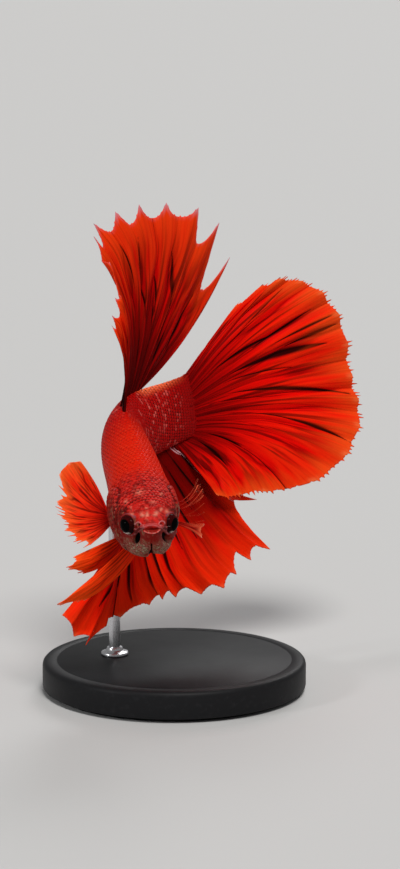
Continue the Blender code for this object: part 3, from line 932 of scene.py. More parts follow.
def make_web(name, root, rays, spikes, look):
    """Thin web with forked rays standing out of it, petals between the folds and a frayed margin."""
    forks, gaps = look["forks"], len(spikes) - 1
    thing, a, b = flat_sheet(name, gaps * look["columns"], look["rows"])
    random = np.random.default_rng(look["seed"])
    u = np.interp(a * gaps, np.arange(gaps + 1), [row[0] for row in spikes])
    v = 1 - (1 - b) ** CROWDING
    phase, turns = ray_phase(spikes, u)
    ray = mound(off_branch(phase, v, forks), RAY_WIDTHS[0] + (RAY_WIDTHS[1] - RAY_WIDTHS[0]) * v)

    tips = 2 ** len(forks)
    number = np.clip(np.floor(turns * tips), 0, gaps * tips - 1).astype(int)
    length = through(np.asarray(rays, float)[:, :2], u)[:, 0]
    reach = random.uniform(*FRINGE_LENGTHS, gaps * tips)[number]
    comb = mound(off_branch(phase, 1 + 0 * v, forks), 0.3 / (2 * tips))
    fringe = look["fringe"] * ease(*look["frayed"], u) * (reach * comb - 0.25) / length
    way = v * (1 - look["notch"] * (1 - edge(spikes, u))) + fringe * ease(FRINGE_START, 1, v)
    leaning = u - np.interp(u, *look["lean"]) * ease(LEAN_START, 1, way)
    points = ray_points(root, rays, leaning, way - look["tuck"] / length * (1 - ease(0, 0.1, v)))
    normal = web_normal(root, rays, u, np.minimum(way, 1))
    wander = look["wander"] * ease(0.05, 0.4, v) * (1 - ease(0.7, 1, v))
    winding = turns + wander * (np.sin(6 * v + 1.7 * turns) + np.sin(11 * v - 2.3 * turns))
    fold = 1 - 2 * np.abs(2 * (winding - np.rint(winding))) ** 1.6
    waves = sum(
        random.uniform(0.5, 1) * np.sin(2 * np.pi * (turns * rate + random.uniform() + 0.35 * v * lean))
        for rate, lean in SWELLS)
    crease = crease_depth(look["creases"], turns, v)
    shift = look["pleat"] * way * fold + look["waves"] * way**1.5 * waves
    shift -= CREASE_DEPTH * crease
    put(thing, to_world(points + normal * shift[:, None]))
    veil, lines = (np.interp(u, look["opacity"][0], row) for row in look["opacity"][1:])
    mark(thing, across=turns, out=v, fold=fold, ray=ray, peak=mound(phase, 0.1), crease=crease,
         glint=crease_depth(look["glints"], turns, v),
         shade=np.interp(turns, *look["shade"]), veil=veil, lines=lines)

    thick = thing.vertex_groups.new(name="thick")
    level = (BETWEEN_RAYS + (1 - BETWEEN_RAYS) * ray) * (1 - TAPER * v)
    steps = np.rint(np.clip(level, 0, 1) * THICKNESS_STEPS)
    for step in range(THICKNESS_STEPS + 1):
        thick.add(np.nonzero(steps == step)[0].tolist(), step / THICKNESS_STEPS, "REPLACE")
    apply(thing, "SOLIDIFY", thickness=look["thickness"] * MM, offset=0, vertex_group="thick",
          thickness_vertex_group=0.1)
    return face_out(thing, None)


def look(**changes):
    """How one fin's web is made: rays, faces, and depths in millimetres, where it differs from usual."""
    usual = {"forks": FORKS, "columns": 32, "rows": 64, "fringe": 0.4, "notch": 1.0, "pleat": 0.4,
             "waves": 0.12, "thickness": 0.34, "seed": 3, "tuck": 1.3, "wander": 0.1, "frayed": (-2.0, -1.0),
             "lean": ([0, 1], [0, 0]), "creases": [], "glints": [], "shade": ([0, 1], [0, 0]),
             "opacity": ([0, 1], [1, 1], [1, 1])}
    return {**usual, **changes}


# Deep folds of a web: ray number at its near and far end, place out along the rays of both, half width
DORSAL_CREASES = [
    (0.3, 1, 0.02, 0.45, 0.25), (5.4, 5, 0.3, 0.72, 0.08), (7.1, 6.2, 0.36, 0.76, 0.07),
    (8.3, 7.6, 0.24, 0.56, 0.07), (8.1, 7.5, 0.42, 0.7, 0.08), (9.5, 9.1, 0.24, 0.62, 0.13),
    (9.2, 8.4, 0.46, 0.8, 0.09), (9.9, 9.6, 0.08, 0.44, 0.08), (6.9, 6.3, 0.06, 0.46, 0.09),
    (3.2, 2.6, 0.1, 0.56, 0.1), (4.5, 4.1, 0.08, 0.54, 0.08), (2, 1.7, 0.26, 0.7, 0.08),
    (6.3, 6.6, 0.5, 0.92, 0.06), (10.4, 10.2, 0.3, 0.8, 0.08), (5.7, 5.5, 0.6, 0.94, 0.06),
]
CAUDAL_CREASES = [
    (3.95, 4.6, 0.16, 0.66, 0.15), (3.3, 3.2, 0.2, 0.66, 0.08), (5.2, 5.8, 0.28, 0.9, 0.19),
    (5.6, 6.3, 0.22, 0.7, 0.06), (6.6, 7.8, 0.26, 1, 0.16), (6.8, 7.6, 0.06, 0.5, 0.07),
    (8.6, 9.4, 0.14, 0.76, 0.07), (9.1, 9.6, 0.5, 1, 0.1), (9.5, 10.2, 0.08, 0.5, 0.07),
    (3.2, 2.7, 0.42, 0.92, 0.07), (4.6, 4.4, 0.48, 0.9, 0.1), (4.95, 4.95, 0.58, 1, 0.07),
    (5.35, 5.3, 0.66, 1, 0.09), (1.4, 1, 0.3, 0.9, 0.07), (2.3, 1.8, 0.4, 0.94, 0.07),
    (11.3, 11.5, 0.08, 0.5, 0.1), (12.4, 12.6, 0.08, 0.6, 0.1),
]
ANAL_CREASES = [
    (1.8, 1.3, 0.4, 0.8, 0.08), (2.7, 2.6, 0.3, 0.85, 0.07), (3.65, 3.5, 0.3, 0.8, 0.1),
    (4.45, 4.35, 0.35, 1, 0.07), (5.5, 5.4, 0.4, 1, 0.07), (6.4, 6.45, 0.4, 1, 0.08),
    (7.5, 7.4, 0.3, 1, 0.08), (8.6, 8.4, 0.2, 0.7, 0.06), (9.5, 9.4, 0.25, 0.66, 0.07),
    (10.6, 10.3, 0.1, 0.5, 0.07), (11.5, 11.4, 0.05, 0.42, 0.08), (12.5, 12.4, 0.05, 0.36, 0.1),
]
# Pale glints on the anal fin, laid out as the folds are
ANAL_GLINTS = [(12.3, 12.95, 0.03, 0.21, 0.07), (12.0, 12.5, 0.01, 0.12, 0.06)]

DORSAL_LOOK = look(fringe=0.25, seed=3, wander=0.16, notch=1.12, lean=([0, 0.12, 1], [0, 0.065, 0]),
                   creases=DORSAL_CREASES, shade=([0, 2, 6, 9, 11], [0.8, 0.5, 0.4, 0.1, 0]))
CAUDAL_LOOK = look(fringe=1.0, notch=0.4, seed=4, creases=CAUDAL_CREASES,
                   shade=([0, 4, 10, 14], [0.3, 0, 0, 0.2]))
ANAL_LOOK = look(fringe=0.12, pleat=0.8, seed=6, wander=0.05, notch=1.2, creases=ANAL_CREASES,
                 glints=ANAL_GLINTS, lean=([0, 0.24, 0.42, 1], [0, 0, -0.04, 0]),
                 shade=([0, 4, 7, 9, 10, 11, 13], [0, 0, 0.15, 0.4, 0.75, 0.8, 0.7]))
# How far the anal fin's web reaches past its solid's root, to meet the tail fin
ANAL_LAP = 0.9
RIGHT_PECTORAL_LOOK = look(forks=FORKS[:2], columns=24, rows=48, fringe=1.5, frayed=(0.25, 0.4),
                           pleat=0.15, waves=0.05, thickness=0.26, seed=5, tuck=1.2)
# Along the left pectoral's root: how opaque its web is, and how opaque its rays are
LEFT_PECTORAL_OPACITY = ([0, 0.3, 0.42, 0.72, 0.84, 1], [0.05, 0.05, 0, 0, 1, 1],
                         [0.9, 0.7, 0.08, 0.08, 1, 1])
LEFT_PECTORAL_LOOK = look(forks=FORKS[:1], columns=16, rows=48, fringe=0.9, pleat=0.15, waves=0.05,
                          thickness=0.22, seed=9, tuck=1.2, opacity=LEFT_PECTORAL_OPACITY)
PELVIC_LOOK = look(forks=FORKS[:2], fringe=0.9, pleat=0, waves=0.06, seed=8, tuck=1.2)


# ---- stand

# Radius and height of each edge, from the middle of the underside to the middle of the top
BASE_PROFILE = [
    (0, 0), (19.3, 0), (19.7, 0.15), (19.8, 0.5), (20.7, 0.65), (20.93, 0.8), (21, 1.1),
    (21, 4.2), (20.92, 4.55), (20.7, 4.82), (20.4, 4.95), (20, 5), (18.9, 5), (18.8, 4.93),
    (18.6, 4.93), (18.5, 5), (0, 5),
]
COLLAR_PROFILE = [
    (0, 0), (2.1, 0), (2.2, 0.1), (2.2, 0.35), (2.1, 0.5), (1.5, 0.62), (1.3, 0.8), (1.25, 1.2),
    (1.15, 1.3), (0.9, 1.32),
]
ROD_STATION = 32.0
ROD_ANGLE = -132.0
CRADLE_REACH = (2.0, 17.0)
CRADLE_GAP = 0.14
CRADLE_THICKNESS = 0.2
CRADLE_FACES = (24, 24)
BASE_SEGMENTS = 256
COLLAR_SEGMENTS = 96
# Turned edges sharper than this, in degrees, are left unsmoothed
SHARP_EDGE = 40


def turned(name, profile, segments, foot):
    """Solid turned about an upright axis through its foot."""
    rows = len(profile) - 1
    thing, a, b = flat_sheet(name, segments, rows)
    radius, height = np.asarray(profile, float)[np.rint(b * rows).astype(int)].T
    turn = 2 * np.pi * a
    put(thing, (foot + np.column_stack([radius * np.cos(turn), radius * np.sin(turn), height])) * MM)
    activate(face_out(thing))
    bpy.ops.object.shade_smooth_by_angle(angle=np.radians(SHARP_EDGE))
    return thing


def make_cradle(name):
    """Small curved plate on the rod's top that follows the flank from below."""
    thing, a, b = flat_sheet(name, *CRADLE_FACES)
    side, run = rounded(a, b)
    points = body(ROD_STATION + CRADLE_REACH[0] * run, ROD_ANGLE + CRADLE_REACH[1] * side, CRADLE_GAP)
    put(thing, to_world(points))
    apply(thing, "SOLIDIFY", thickness=CRADLE_THICKNESS * MM, offset=-1)
    return face_out(thing, None)


# ---- finishes

# Specular level of wet flesh, and of a web
WET = 0.05
WEB_SHEEN = 0.02
# Share of light that a web lets through
WEB_GLOW = 0.15
# Tints that no setting changes: flesh, scales, eyes, webs, stand
MOTTLE = (0.16, 0.003, 0.002)
SPECK = (0.62, 0.06, 0.05)
CHEEK_SHADOW = (0.035, 0.002, 0.0015)
THROAT_PINK = (0.36, 0.09, 0.07)
THROAT_PALE = (0.5, 0.38, 0.28)
THROAT_LINE = (0.04, 0.008, 0.006)
THROAT_RED = (0.2, 0.02, 0.012)
SLIT_SHADOW = (0.03, 0.001, 0.001)
TAIL_RED = (0.26, 0.001, 0.001)
CHIN_RED = (0.24, 0.006, 0.004)
BAR_RED = (0.07, 0.002, 0.002)
UPPER_LIP_RED = (0.36, 0.02, 0.018)
LID_VIOLET = (0.22, 0.07, 0.1)
HOLLOW_SHADOW = (0.002, 0.0003, 0.0003)
# Painted shade at the scales' roots
SCALE_ROOT_SHADE = (0.05, 0.001, 0.001)
# Painted highlights on the scales' free edges
SCALE_EDGE_HIGHLIGHT_PINK = (0.7, 0.13, 0.1)
SCALE_EDGE_HIGHLIGHT_ORANGE = (0.85, 0.1, 0.03)
IRIS_DARK = (0.012, 0.002, 0.002)
IRIS_GLINT = (0.6, 0.5, 0.45)
IRIS_RIM = (0.02, 0.003, 0.004)
PUPIL_BLACK = (0.001, 0.001, 0.001)
# Dark web between the rays, also laid as painted shade in the pleats' valleys and where a fin lies in shade
DARK_WEB_AND_SHADE = (0.02, 0.0003, 0.0003)
STREAK = (0.05, 0.0004, 0.0004)
CREASE_SHADOW = (0.004, 0.0002, 0.0002)
WEB_GLINT = (0.7, 0.36, 0.4)
DUST = (0.03, 0.03, 0.033)
STEEL = (0.62, 0.62, 0.64, 1)
# Each web's colour at its root, in its middle, at its margin and at the tips of its rays
PALE_TIP = (0.95, 0.55, 0.4)
WEB_COLOURS = {
    "dorsal": ((0.16, 0.0006, 0.0008), (0.7, 0.001, 0.0008), (0.95, 0.05, 0.005), (0.5, 0.36, 0.44)),
    "caudal": ((0.32, 0.0004, 0.0008), (0.9, 0.003, 0.0006), (0.86, 0.075, 0.008), (0.9, 0.2, 0.06)),
    "anal": ((0.55, 0.001, 0.0006), (0.95, 0.006, 0.0006), (0.92, 0.03, 0.003), (0.9, 0.16, 0.05)),
    "right_pectoral": ((0.5, 0.004, 0.001), (0.85, 0.02, 0.003), (0.95, 0.12, 0.02), PALE_TIP),
    "left_pectoral": ((0.2, 0.003, 0.002), (0.4, 0.012, 0.006), (0.95, 0.16, 0.07), PALE_TIP),
    "pelvic": ((0.9, 0.01, 0.001), (1.0, 0.04, 0.003), (1.0, 0.1, 0.01), PALE_TIP),
}


def body_colour(finish, settings):
    """Red of the body, shared by the skin and the scales."""
    along, belly, plate, lobe = finish.marks("along belly plate lobe")
    fine, mottling, patches = finish.noise(0.3, 3.0), finish.noise(0.9, 3.0), finish.noise(2.4)
    upright = finish.node("Mapping", None, {"Vector": finish.place(), "Scale": (1, 0.5, 0.3)})
    streaks = finish.noise(0.4, 3.0, upright)
    tint, border = finish.cells(0.42, "F1", "Color"), finish.cells(0.42, "DISTANCE_TO_EDGE", "Distance")
    throat = finish.coats(
        finish.mix(tint.within(0.35, 0.65), settings.throat_olive, THROAT_PINK),
        (fine.within(0.52, 0.64) * 0.75, THROAT_PALE),
        ((1 - border.within(0.03, 0.14)) * 0.75, THROAT_LINE),
        (mottling.within(0.5, 0.64) * 0.6, THROAT_RED))
    head = 1 - along.within(9, 15)
    cheek = belly.within(0.28, 0.46) * head
    under = belly.within(0.62, 0.8) * along.within(1.5, 3.5) * head * patches.within(0.3, 0.5) * 0.6
    slit = (1 - abs(plate).within(0.05, 0.22)) * along.within(7, 8.5)
    # Mask of a painted highlight along the rear edge of each gill cover
    gleam = plate.within(0.05, 0.25) * (1 - plate.within(0.5, 0.9)) * along.within(10, 11.5) * head
    return finish.coats(
        finish.mix(along.within(21, 30), settings.front_red, settings.rear_red),
        (head * 0.9, settings.head_red),
        (mottling.within(0.44, 0.62) * head * 0.75, MOTTLE),
        (fine.within(0.52, 0.66) * head * 0.35, SPECK),
        (cheek * 0.9, settings.cheek_red),
        (cheek * streaks.within(0.52, 0.64) * patches.within(0.35, 0.55) * 0.45, settings.throat_olive),
        ((1 - streaks.within(0.3, 0.44)) * cheek * 0.6, CHEEK_SHADOW),
        (lobe.over(under), throat),
        (slit * 0.7, SLIT_SHADOW),
        # Painted highlight along the gill covers' rear edges
        (gleam * streaks.within(0.5, 0.62) * (1 - belly.within(0.4, 0.55)) * 0.7, settings.painted_rim_highlight),
        # Orange along the back behind the dorsal fin: partly pale scales, partly a painted highlight along
        # the top of the tail root
        ((1 - belly.within(0.05, 0.24)) * along.within(36, 39) * 0.85, settings.ridge_orange_and_highlight),
        (along.within(42, 50) * 0.95, TAIL_RED),
        (finish.mark("blotch") * mottling.within(0.3, 0.55) * 0.6, settings.blotch_peach))


def skin_finish(settings):
    finish = Finish("betta_skin")
    fine, grit = finish.noise(0.25, 3.0), finish.noise(0.12)
    chin, bar, upper, lower, lid, rim, hollow = finish.marks("chin bar upper_lip lower_lip lid rim hollow")
    colour = finish.coats(
        body_colour(finish, settings),
        (chin * (0.55 + fine * 0.5), CHIN_RED),
        (bar * (0.5 + grit * 0.7), BAR_RED),
        (upper.within(0.3, 0.9) * 0.85, UPPER_LIP_RED),
        (lower.within(0.2, 0.8), finish.mix(fine.within(0.35, 0.65), settings.head_red, settings.lip_pink)),
        (lid.within(0.5, 1.0) * 0.6, LID_VIOLET),
        # Painted highlights along the jaw bars, the nostrils' rims and the upper lip's edge
        (rim * grit.within(0.25, 0.5) * 0.9, settings.painted_rim_highlight),
        (hollow.within(0.25, 0.6), HOLLOW_SHADOW))
    return finish.done(Base_Color=colour, Roughness=0.45 + fine * 0.25, Specular_IOR_Level=WET,
                       Normal=finish.bump(grit, 0.05, 0.7))


def scale_finish(settings):
    finish = Finish("betta_scale")
    tip, side, tone, along = finish.marks("tip side tone along")
    rear, front = along.within(26, 31), 1 - along.within(9, 15)
    # Painted shade where each scale slips under the one ahead of it, and on the sides of the rear scales
    root = (1 - tip.within(0.48, 0.74)).over(side.within(0.6, 1.0) * rear * 0.8)
    root = root * finish.mark("settle").within(0.25, 0.9) * (1 - along.within(44, 50))
    # Strength of that painted shade: more on the head, the rear flanks and towards the belly, and uneven from
    # scale to scale
    depth = front * 0.4 + rear * 0.45 + finish.mark("belly").within(0.2, 0.4) * 0.2 + tone * 0.5 + 0.1
    # Painted highlights along each scale's free edge, pink on the head and orange further back
    rim = tip.within(0.8, 0.95) * tone.within(0.2, 0.9)
    # Painted highlights: flecks across the middle of scales on the rear flanks, in clusters
    band = tip.within(0.54, 0.64) * (1 - tip.within(0.84, 0.94)) * (1 - side.within(0.45, 0.9))
    clusters = finish.noise(2.6).within(0.36, 0.6)
    highlight_fleck = band * tone.within(0.55, 0.95) * rear * clusters * (1 - along.within(43, 48))
    colour = finish.coats(
        body_colour(finish, settings),
        (root * depth, SCALE_ROOT_SHADE),
        (rim * front * 0.4, SCALE_EDGE_HIGHLIGHT_PINK),
        (rim * (1 - rear) * (1 - front) * 0.3, SCALE_EDGE_HIGHLIGHT_ORANGE),
        (highlight_fleck * 0.65, settings.scale_highlight_pink))
    return finish.done(Base_Color=colour, Roughness=0.4 + tone * 0.2, Specular_IOR_Level=WET)


def eye_finish(settings):
    finish = Finish("betta_eye")
    off, spoke = finish.marks("off spoke")
    polar = finish.node("CombineXYZ", None, {0: spoke * 6, 1: off * 0.05})
    fibres = finish.node("TexNoise", None, {"Vector": polar, "Scale": 2.0, "Detail": 3.0})
    upper = spoke.sine().within(-0.1, 0.9)
    glint = (1 - spoke.sine().within(-0.95, -0.7)) * off.within(40, 47) * (1 - off.within(58, 64))
    iris = finish.coats(
        finish.mix(upper * fibres.within(0.3, 0.7), IRIS_DARK, settings.iris_red),
        (glint * fibres.within(0.3, 0.55), IRIS_GLINT),
        (off.within(IRIS_EDGE - 8, IRIS_EDGE), IRIS_RIM))
    colour = finish.mix(off.within(PUPIL_EDGE - 1.5, PUPIL_EDGE + 1.5), PUPIL_BLACK, iris)
    return finish.done(Base_Color=colour, Roughness=0.05 + off.within(60, 90) * 0.3, Specular_IOR_Level=0.012)


def fin_finish(word, edge_start=0.6, crest_highlight=0.3, between=0.4, valley_shading=0.7, streaking=0.75):
    """Fin's web: rays over darker gaps, dark folds and streaks, painted shade in the pleats' valleys and
    painted highlights on their crests, an orange margin and pale ray tips.
    """
    finish = Finish(word + "_web")
    root_red, web_red, edge_orange, tip_pale = WEB_COLOURS[word]
    out, fold, ray, peak, crease, shade, veil = finish.marks("out fold ray peak crease shade veil")
    broad, streaks = finish.stretched(1.3, 0.9), finish.stretched(4.5, 1.6, 3.0)
    fine = finish.stretched(14.0, 2.0)
    reach = out + (streaks - 0.5) * 0.5 + (broad - 0.5) * 0.5
    # Painted shade in the pleats' valleys, between the rays
    valley_shade = (1 - fold.within(-1.0, -0.45)) * broad.within(0.35, 0.5) * (1 - out.within(0.75, 1.0))
    colour = finish.coats(
        finish.mix(reach.within(0.0, 0.45), root_red, web_red),
        (reach.within(edge_start, 1.1), edge_orange),
        # Painted highlight along the crests of the pleats
        (fold.within(0.0, 1.0) * reach.within(0.2, 0.8) * crest_highlight, edge_orange),
        (fine.within(0.45, 0.75) * 0.35, root_red),
        ((1 - ray.within(0.15, 0.7)) * (1 - reach.within(0.25, 0.75)) * between, DARK_WEB_AND_SHADE),
        (streaks.within(0.48, 0.6) * (1 - out.within(0.6, 1.05)) * streaking, STREAK),
        (valley_shade * valley_shading, DARK_WEB_AND_SHADE),
        # Painted shade over parts of each fin, by ray number, fading towards the margin
        (shade * (1 - out.within(0.4, 1.1)), DARK_WEB_AND_SHADE),
        (crease.within(0.15, 0.85) * 0.97, CREASE_SHADOW),
        (ray * out.within(0.35, 1.0) * 0.2, edge_orange),
        (finish.mark("glint").within(0.2, 0.8) * 0.8, WEB_GLINT),
        ((ray * out.within(0.97, 1.0) * 0.15).over(peak * out.within(0.95, 1.0) * 0.6), tip_pale))
    lines = ray.within(0.3, 0.9)
    alpha = veil * (1 - lines) + finish.mark("lines") * lines
    shader = finish.principled(Base_Color=colour, Roughness=0.45 + streaks * 0.15, Alpha=alpha,
                               Normal=finish.bump(fine, 0.06, 0.5), Specular_IOR_Level=WEB_SHEEN)
    glow = finish.node("BsdfTranslucent", None, {"Color": (*web_red, 1)})
    share = veil * (1 - crease) * WEB_GLOW
    return finish.done(finish.node("MixShader", None, {0: share, 1: shader, 2: glow}))


def base_finish(settings):
    finish = Finish("stand_base_lacquer")
    dust, swirl = finish.noise(0.8, 4.0), finish.noise(6.0)
    colour = finish.mix(dust.within(0.5, 0.8) * 0.25, settings.base_colour, DUST)
    return finish.done(Base_Color=colour, Roughness=0.42 + swirl * 0.12, Specular_IOR_Level=0.1)


def rod_finish():
    finish = Finish("stand_rod_steel")
    stretched = finish.node("Mapping", None, {"Vector": finish.place(), "Scale": (1, 1, 0.06)})
    lines = finish.noise(0.05, vector=stretched)
    return finish.done(Base_Color=STEEL, Metallic=1.0, Roughness=0.18 + lines * 0.2)


def floor_finish(settings):
    return Finish("studio_floor").done(Base_Color=(*settings.floor_colour, 1), Roughness=0.8)


# ---- settings

def colour_setting(name, description, default):
    return FloatVectorProperty(name=name, description=description, subtype="COLOR", size=3, min=0, max=1,
                               default=default)


def length_setting(name, description, millimetres):
    return FloatProperty(name=name, description=description, default=millimetres * MM, unit="LENGTH")


class BettaSettings(bpy.types.PropertyGroup):
    """Sizes and colours of the fish, its stand and the studio."""
    coat_depth: length_setting("Coat depth", "How far the skin lies under the outer form", 0.15)
    scale_lift: length_setting("Scale lift", "Height of a scale's free edge over the skin", 0.17)
    scale_thickness: length_setting("Scale thickness", "Thickness of one scale", 0.05)
    scale_dome: length_setting("Scale dome", "How far a scale's sides lie below its middle", 0.06)
    scale_tilt: FloatProperty(name="Scale tilt", description="How unevenly the scales lie", default=0.03)
    front_red: colour_setting("Front red", "Flanks behind the head", (0.6, 0.011, 0.0015))
    rear_red: colour_setting("Rear red", "Flanks before the tail", (0.4, 0.002, 0.0015))
    head_red: colour_setting("Head red", "Top of the head", (0.46, 0.011, 0.008))
    cheek_red: colour_setting("Cheek red", "Sides of the head", (0.18, 0.006, 0.0035))
    throat_olive: colour_setting("Throat olive", "Throat and cheeks", (0.24, 0.19, 0.11))
    blotch_peach: colour_setting("Blotch peach", "Pale blotches on the forehead", (0.8, 0.3, 0.2))
    # Orange of the back behind the dorsal fin, partly pale scales and partly a painted highlight
    ridge_orange_and_highlight: colour_setting("Ridge orange", "Back behind the dorsal fin", (0.95, 0.16, 0.05))
    lip_pink: colour_setting("Lip pink", "Lower lip", (0.56, 0.15, 0.13))
    # Colour of the painted highlights flecked on the rear flanks' scales
    scale_highlight_pink: colour_setting("Scale pink", "Flecks on the scales", (0.7, 0.12, 0.1))
    # Colour of the painted highlights along the face's rims and the gill covers' rear edges
    painted_rim_highlight: colour_setting("Rim violet", "Rims of the nostrils and gill covers", (0.55, 0.19, 0.2))
    iris_red: colour_setting("Iris red", "Upper part of the irises", (0.05, 0.002, 0.002))
    base_colour: colour_setting("Base colour", "Lacquer of the stand's base", (0.009, 0.009, 0.01))
    floor_colour: colour_setting("Floor colour", "Studio floor", (0.48, 0.48, 0.48))
    light_power: FloatProperty(name="Light power", description="Strength of all lights", default=1.0, min=0)
    seed: IntProperty(name="Seed", description="Start of the random numbers", default=11)


# ---- operators

class BETTA_OT_skin(bpy.types.Operator):
    """Make the skin of the head, gill covers, trunk and tail root"""
    bl_idname = "betta.skin"
    bl_label = "Skin"

    def execute(self, context):
        settings = context.scene.betta
        nodes = ("head", "gill_cover_left", "gill_cover_right", "trunk", "tail_root")
        finish_piece(make_skin(settings), skin_finish(settings), "skin", *nodes)
        return {"FINISHED"}


class BETTA_OT_scales(bpy.types.Operator):
    """Lay the scales of the head, trunk and tail root over the skin"""
    bl_idname = "betta.scales"
    bl_label = "Scales"

    def execute(self, context):
        settings = context.scene.betta
        material = scale_finish(settings)
        shape, faces = scale_shape(settings)
        roots = scale_roots(settings.seed)
        for number, (word, (front, rear)) in enumerate(SCALE_BANDS.items()):
            chosen = roots[(roots[:, 0] >= front) & (roots[:, 0] < rear)]
            thing = lay_scales("scales_" + word, chosen, shape, faces, settings, settings.seed + number)
            finish_piece(thing, material, "skin")
        return {"FINISHED"}


class BETTA_OT_eyes(bpy.types.Operator):
    """Make both eyes"""
    bl_idname = "betta.eyes"
    bl_label = "Eyes"

    def execute(self, context):
        material = eye_finish(context.scene.betta)
        for side, word in SIDES.items():
            finish_piece(make_eye(side, word), material, "eye", "eye_" + word)
        return {"FINISHED"}


class BETTA_OT_broad_fins(bpy.types.Operator):
    """Make the dorsal, caudal and anal fins"""
    bl_idname = "betta.broad_fins"
    bl_label = "Dorsal, caudal and anal fins"

    def execute(self, context):
        finishes = {
            "dorsal": fin_finish("dorsal", between=0.6, crest_highlight=0.5),
            "caudal": fin_finish("caudal", edge_start=0.76, crest_highlight=0.1, between=0.25, valley_shading=0.5),
            "anal": fin_finish("anal", crest_highlight=0.65, between=0.2, valley_shading=0.5, streaking=0.3),
        }
        anal_root = on_middle(ANAL_BASE[0], ANAL_BASE[1] + ANAL_LAP, 180)
        layouts = {
            "dorsal": (on_middle(*DORSAL_BASE, 0), DORSAL_RAYS, DORSAL_SPIKES, DORSAL_LOOK),
            "caudal": (at_tail_end, CAUDAL_RAYS, even_spikes(CAUDAL_LOBES, CAUDAL_NOTCH), CAUDAL_LOOK),
            "anal": (anal_root, ANAL_RAYS, ANAL_SPIKES, ANAL_LOOK),
        }
        for word, layout in layouts.items():
            finish_piece(make_web(word + "_web", *layout), finishes[word], "fin", word + "_fin")
        return {"FINISHED"}


class BETTA_OT_paired_fins(bpy.types.Operator):
    """Make the pectoral and pelvic fins"""
    bl_idname = "betta.paired_fins"
    bl_label = "Pectoral and pelvic fins"

    def execute(self, context):
        left = fin_finish("left_pectoral", edge_start=0.75, between=0.1)
        right = fin_finish("right_pectoral", between=0.2)
        pelvic = fin_finish("pelvic", between=0.1, valley_shading=0.4, streaking=0.6)
        lobes = even_spikes(PELVIC_LOBES, PELVIC_NOTCH)
        roots = {"pectoral": PECTORAL_ROOT, "pelvic": PELVIC_ROOT}
        fins = (
            ("pectoral", 1, LEFT_PECTORAL_RAYS, LEFT_PECTORAL_SPIKES, LEFT_PECTORAL_LOOK, left),
            ("pectoral", -1, RIGHT_PECTORAL_RAYS, RIGHT_PECTORAL_SPIKES, RIGHT_PECTORAL_LOOK, right),
            ("pelvic", 1, LEFT_PELVIC_RAYS, lobes, PELVIC_LOOK, pelvic),
            ("pelvic", -1, RIGHT_PELVIC_RAYS, lobes, PELVIC_LOOK, pelvic),
        )
        for fin, side, rays, spikes, how, material in fins:
            root = on_side(side, *roots[fin])
            thing = make_web(f"{fin}_web_{SIDES[side]}", root, rays, spikes, how)
            finish_piece(thing, material, "fin", f"{fin}_fin_{SIDES[side]}")
        return {"FINISHED"}


class BETTA_OT_stand(bpy.types.Operator):
    """Make the stand's turned base, its collar and its cradle, and finish its rod"""
    bl_idname = "betta.stand"
    bl_label = "Stand"

    def execute(self, context):
        steel = rod_finish()
        base = turned("stand_turned_base", BASE_PROFILE, BASE_SEGMENTS, np.zeros(3))
        finish_piece(base, base_finish(context.scene.betta), "stand_base", "stand_base")
        foot = np.mean(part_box("stand_rod"), axis=0) / MM
        foot[2] = BASE_PROFILE[-1][1]
        finish_piece(turned("stand_collar", COLLAR_PROFILE, COLLAR_SEGMENTS, foot), steel, "stand_rod")
        finish_piece(make_cradle("stand_cradle"), steel, "stand_rod")
        give_material(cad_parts["stand_rod"], steel)
        return {"FINISHED"}


# ---- studio

CAMERA_AIM = np.array([7.1, 2.45, 13.9])
CAMERA_DISTANCE = 425.0
CAMERA_LENS = 119.0
FLOOR_SIZE = 14
SKY_POWER = 0.26
# Wide far lights: azimuth (0 is the camera's side, 90 the fish's left), elevation, width, power, colour
LIGHTS = {
    "key": (15, 55, 20, 2.6, (1, 0.98, 0.95)),
    "rim": (165, 38, 25, 0.9, (1, 1, 1)),
    "side": (-60, 24, 8, 0.7, (1, 1, 1)),
}


def hang(name, data, azimuth, elevation):
    """Links a lamp or camera that faces the fish from an azimuth and elevation, and says which way it is."""
    towards = Vector(heading(180 - azimuth, elevation))
    thing = bpy.data.objects.new(name, data)
    thing.rotation_mode = "QUATERNION"
    thing.rotation_quaternion = (-towards).to_track_quat("-Z", "Y")
    bpy.context.scene.collection.objects.link(thing)
    return thing, towards


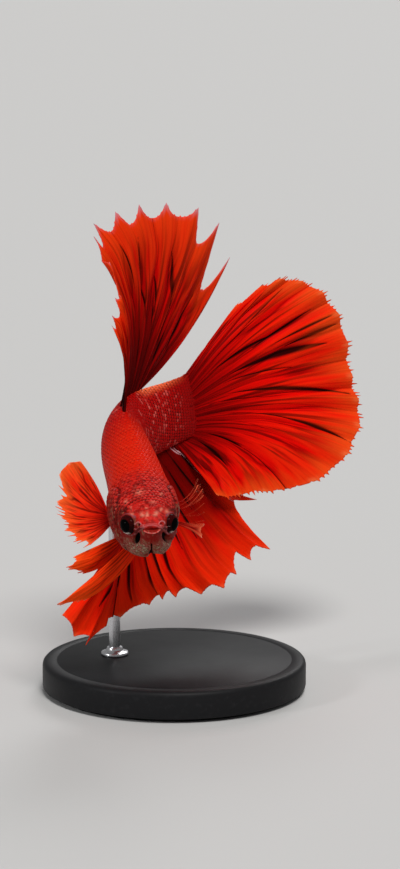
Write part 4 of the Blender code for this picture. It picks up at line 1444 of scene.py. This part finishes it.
class BETTA_OT_stage(bpy.types.Operator):
    """Make the floor, the lights and the camera"""
    bl_idname = "betta.stage"
    bl_label = "Stage"

    def execute(self, context):
        settings = context.scene.betta
        deselect()
        bpy.ops.mesh.primitive_plane_add(size=FLOOR_SIZE)
        floor = name_piece(bpy.context.object, "studio_floor")
        give_material(floor, floor_finish(settings))
        for name, (azimuth, elevation, width, power, colour) in LIGHTS.items():
            lamp = bpy.data.lights.new(name, "SUN")
            lamp.angle, lamp.energy, lamp.color = np.radians(width), power * settings.light_power, colour
            hang(name, lamp, azimuth, elevation)
        world = bpy.data.worlds.new("studio")
        world.use_nodes = True
        sky = world.node_tree.nodes["Background"].inputs
        sky["Color"].default_value = (1, 1, 1, 1)
        sky["Strength"].default_value = SKY_POWER * settings.light_power
        context.scene.world = world
        context.scene.view_settings.view_transform = "Standard"

        camera = bpy.data.cameras.new("camera")
        camera.lens = CAMERA_LENS
        camera.clip_start, camera.clip_end = 0.01, 50
        thing, towards = hang("camera", camera, 0, FACE_LEAN)
        thing.location = Vector(to_world(CAMERA_AIM)) + towards * CAMERA_DISTANCE * MM
        context.scene.camera = thing
        return {"FINISHED"}


class BETTA_PT_panel(bpy.types.Panel):
    """Lists the pieces of the fish"""
    bl_idname = "BETTA_PT_panel"
    bl_label = "Betta"
    bl_space_type = "VIEW_3D"
    bl_region_type = "UI"
    bl_category = "Betta"

    def draw(self, context):
        for name in BettaSettings.__annotations__:
            self.layout.prop(context.scene.betta, name)
        for operator in OPERATORS:
            self.layout.operator(operator.bl_idname)


OPERATORS = (BETTA_OT_skin, BETTA_OT_scales, BETTA_OT_eyes, BETTA_OT_broad_fins, BETTA_OT_paired_fins,
             BETTA_OT_stand, BETTA_OT_stage)
CLASSES = (BettaSettings, *OPERATORS, BETTA_PT_panel)


def register():
    for cls in CLASSES:
        bpy.utils.register_class(cls)
    bpy.types.Scene.betta = PointerProperty(type=BettaSettings)


def unregister():
    del bpy.types.Scene.betta
    for cls in reversed(CLASSES):
        bpy.utils.unregister_class(cls)


def main():
    register()
    bpy.ops.betta.skin()
    bpy.ops.betta.scales()
    bpy.ops.betta.eyes()
    bpy.ops.betta.broad_fins()
    bpy.ops.betta.paired_fins()
    bpy.ops.betta.stand()
    bpy.ops.betta.stage()


if __name__ == "__main__":
    main()
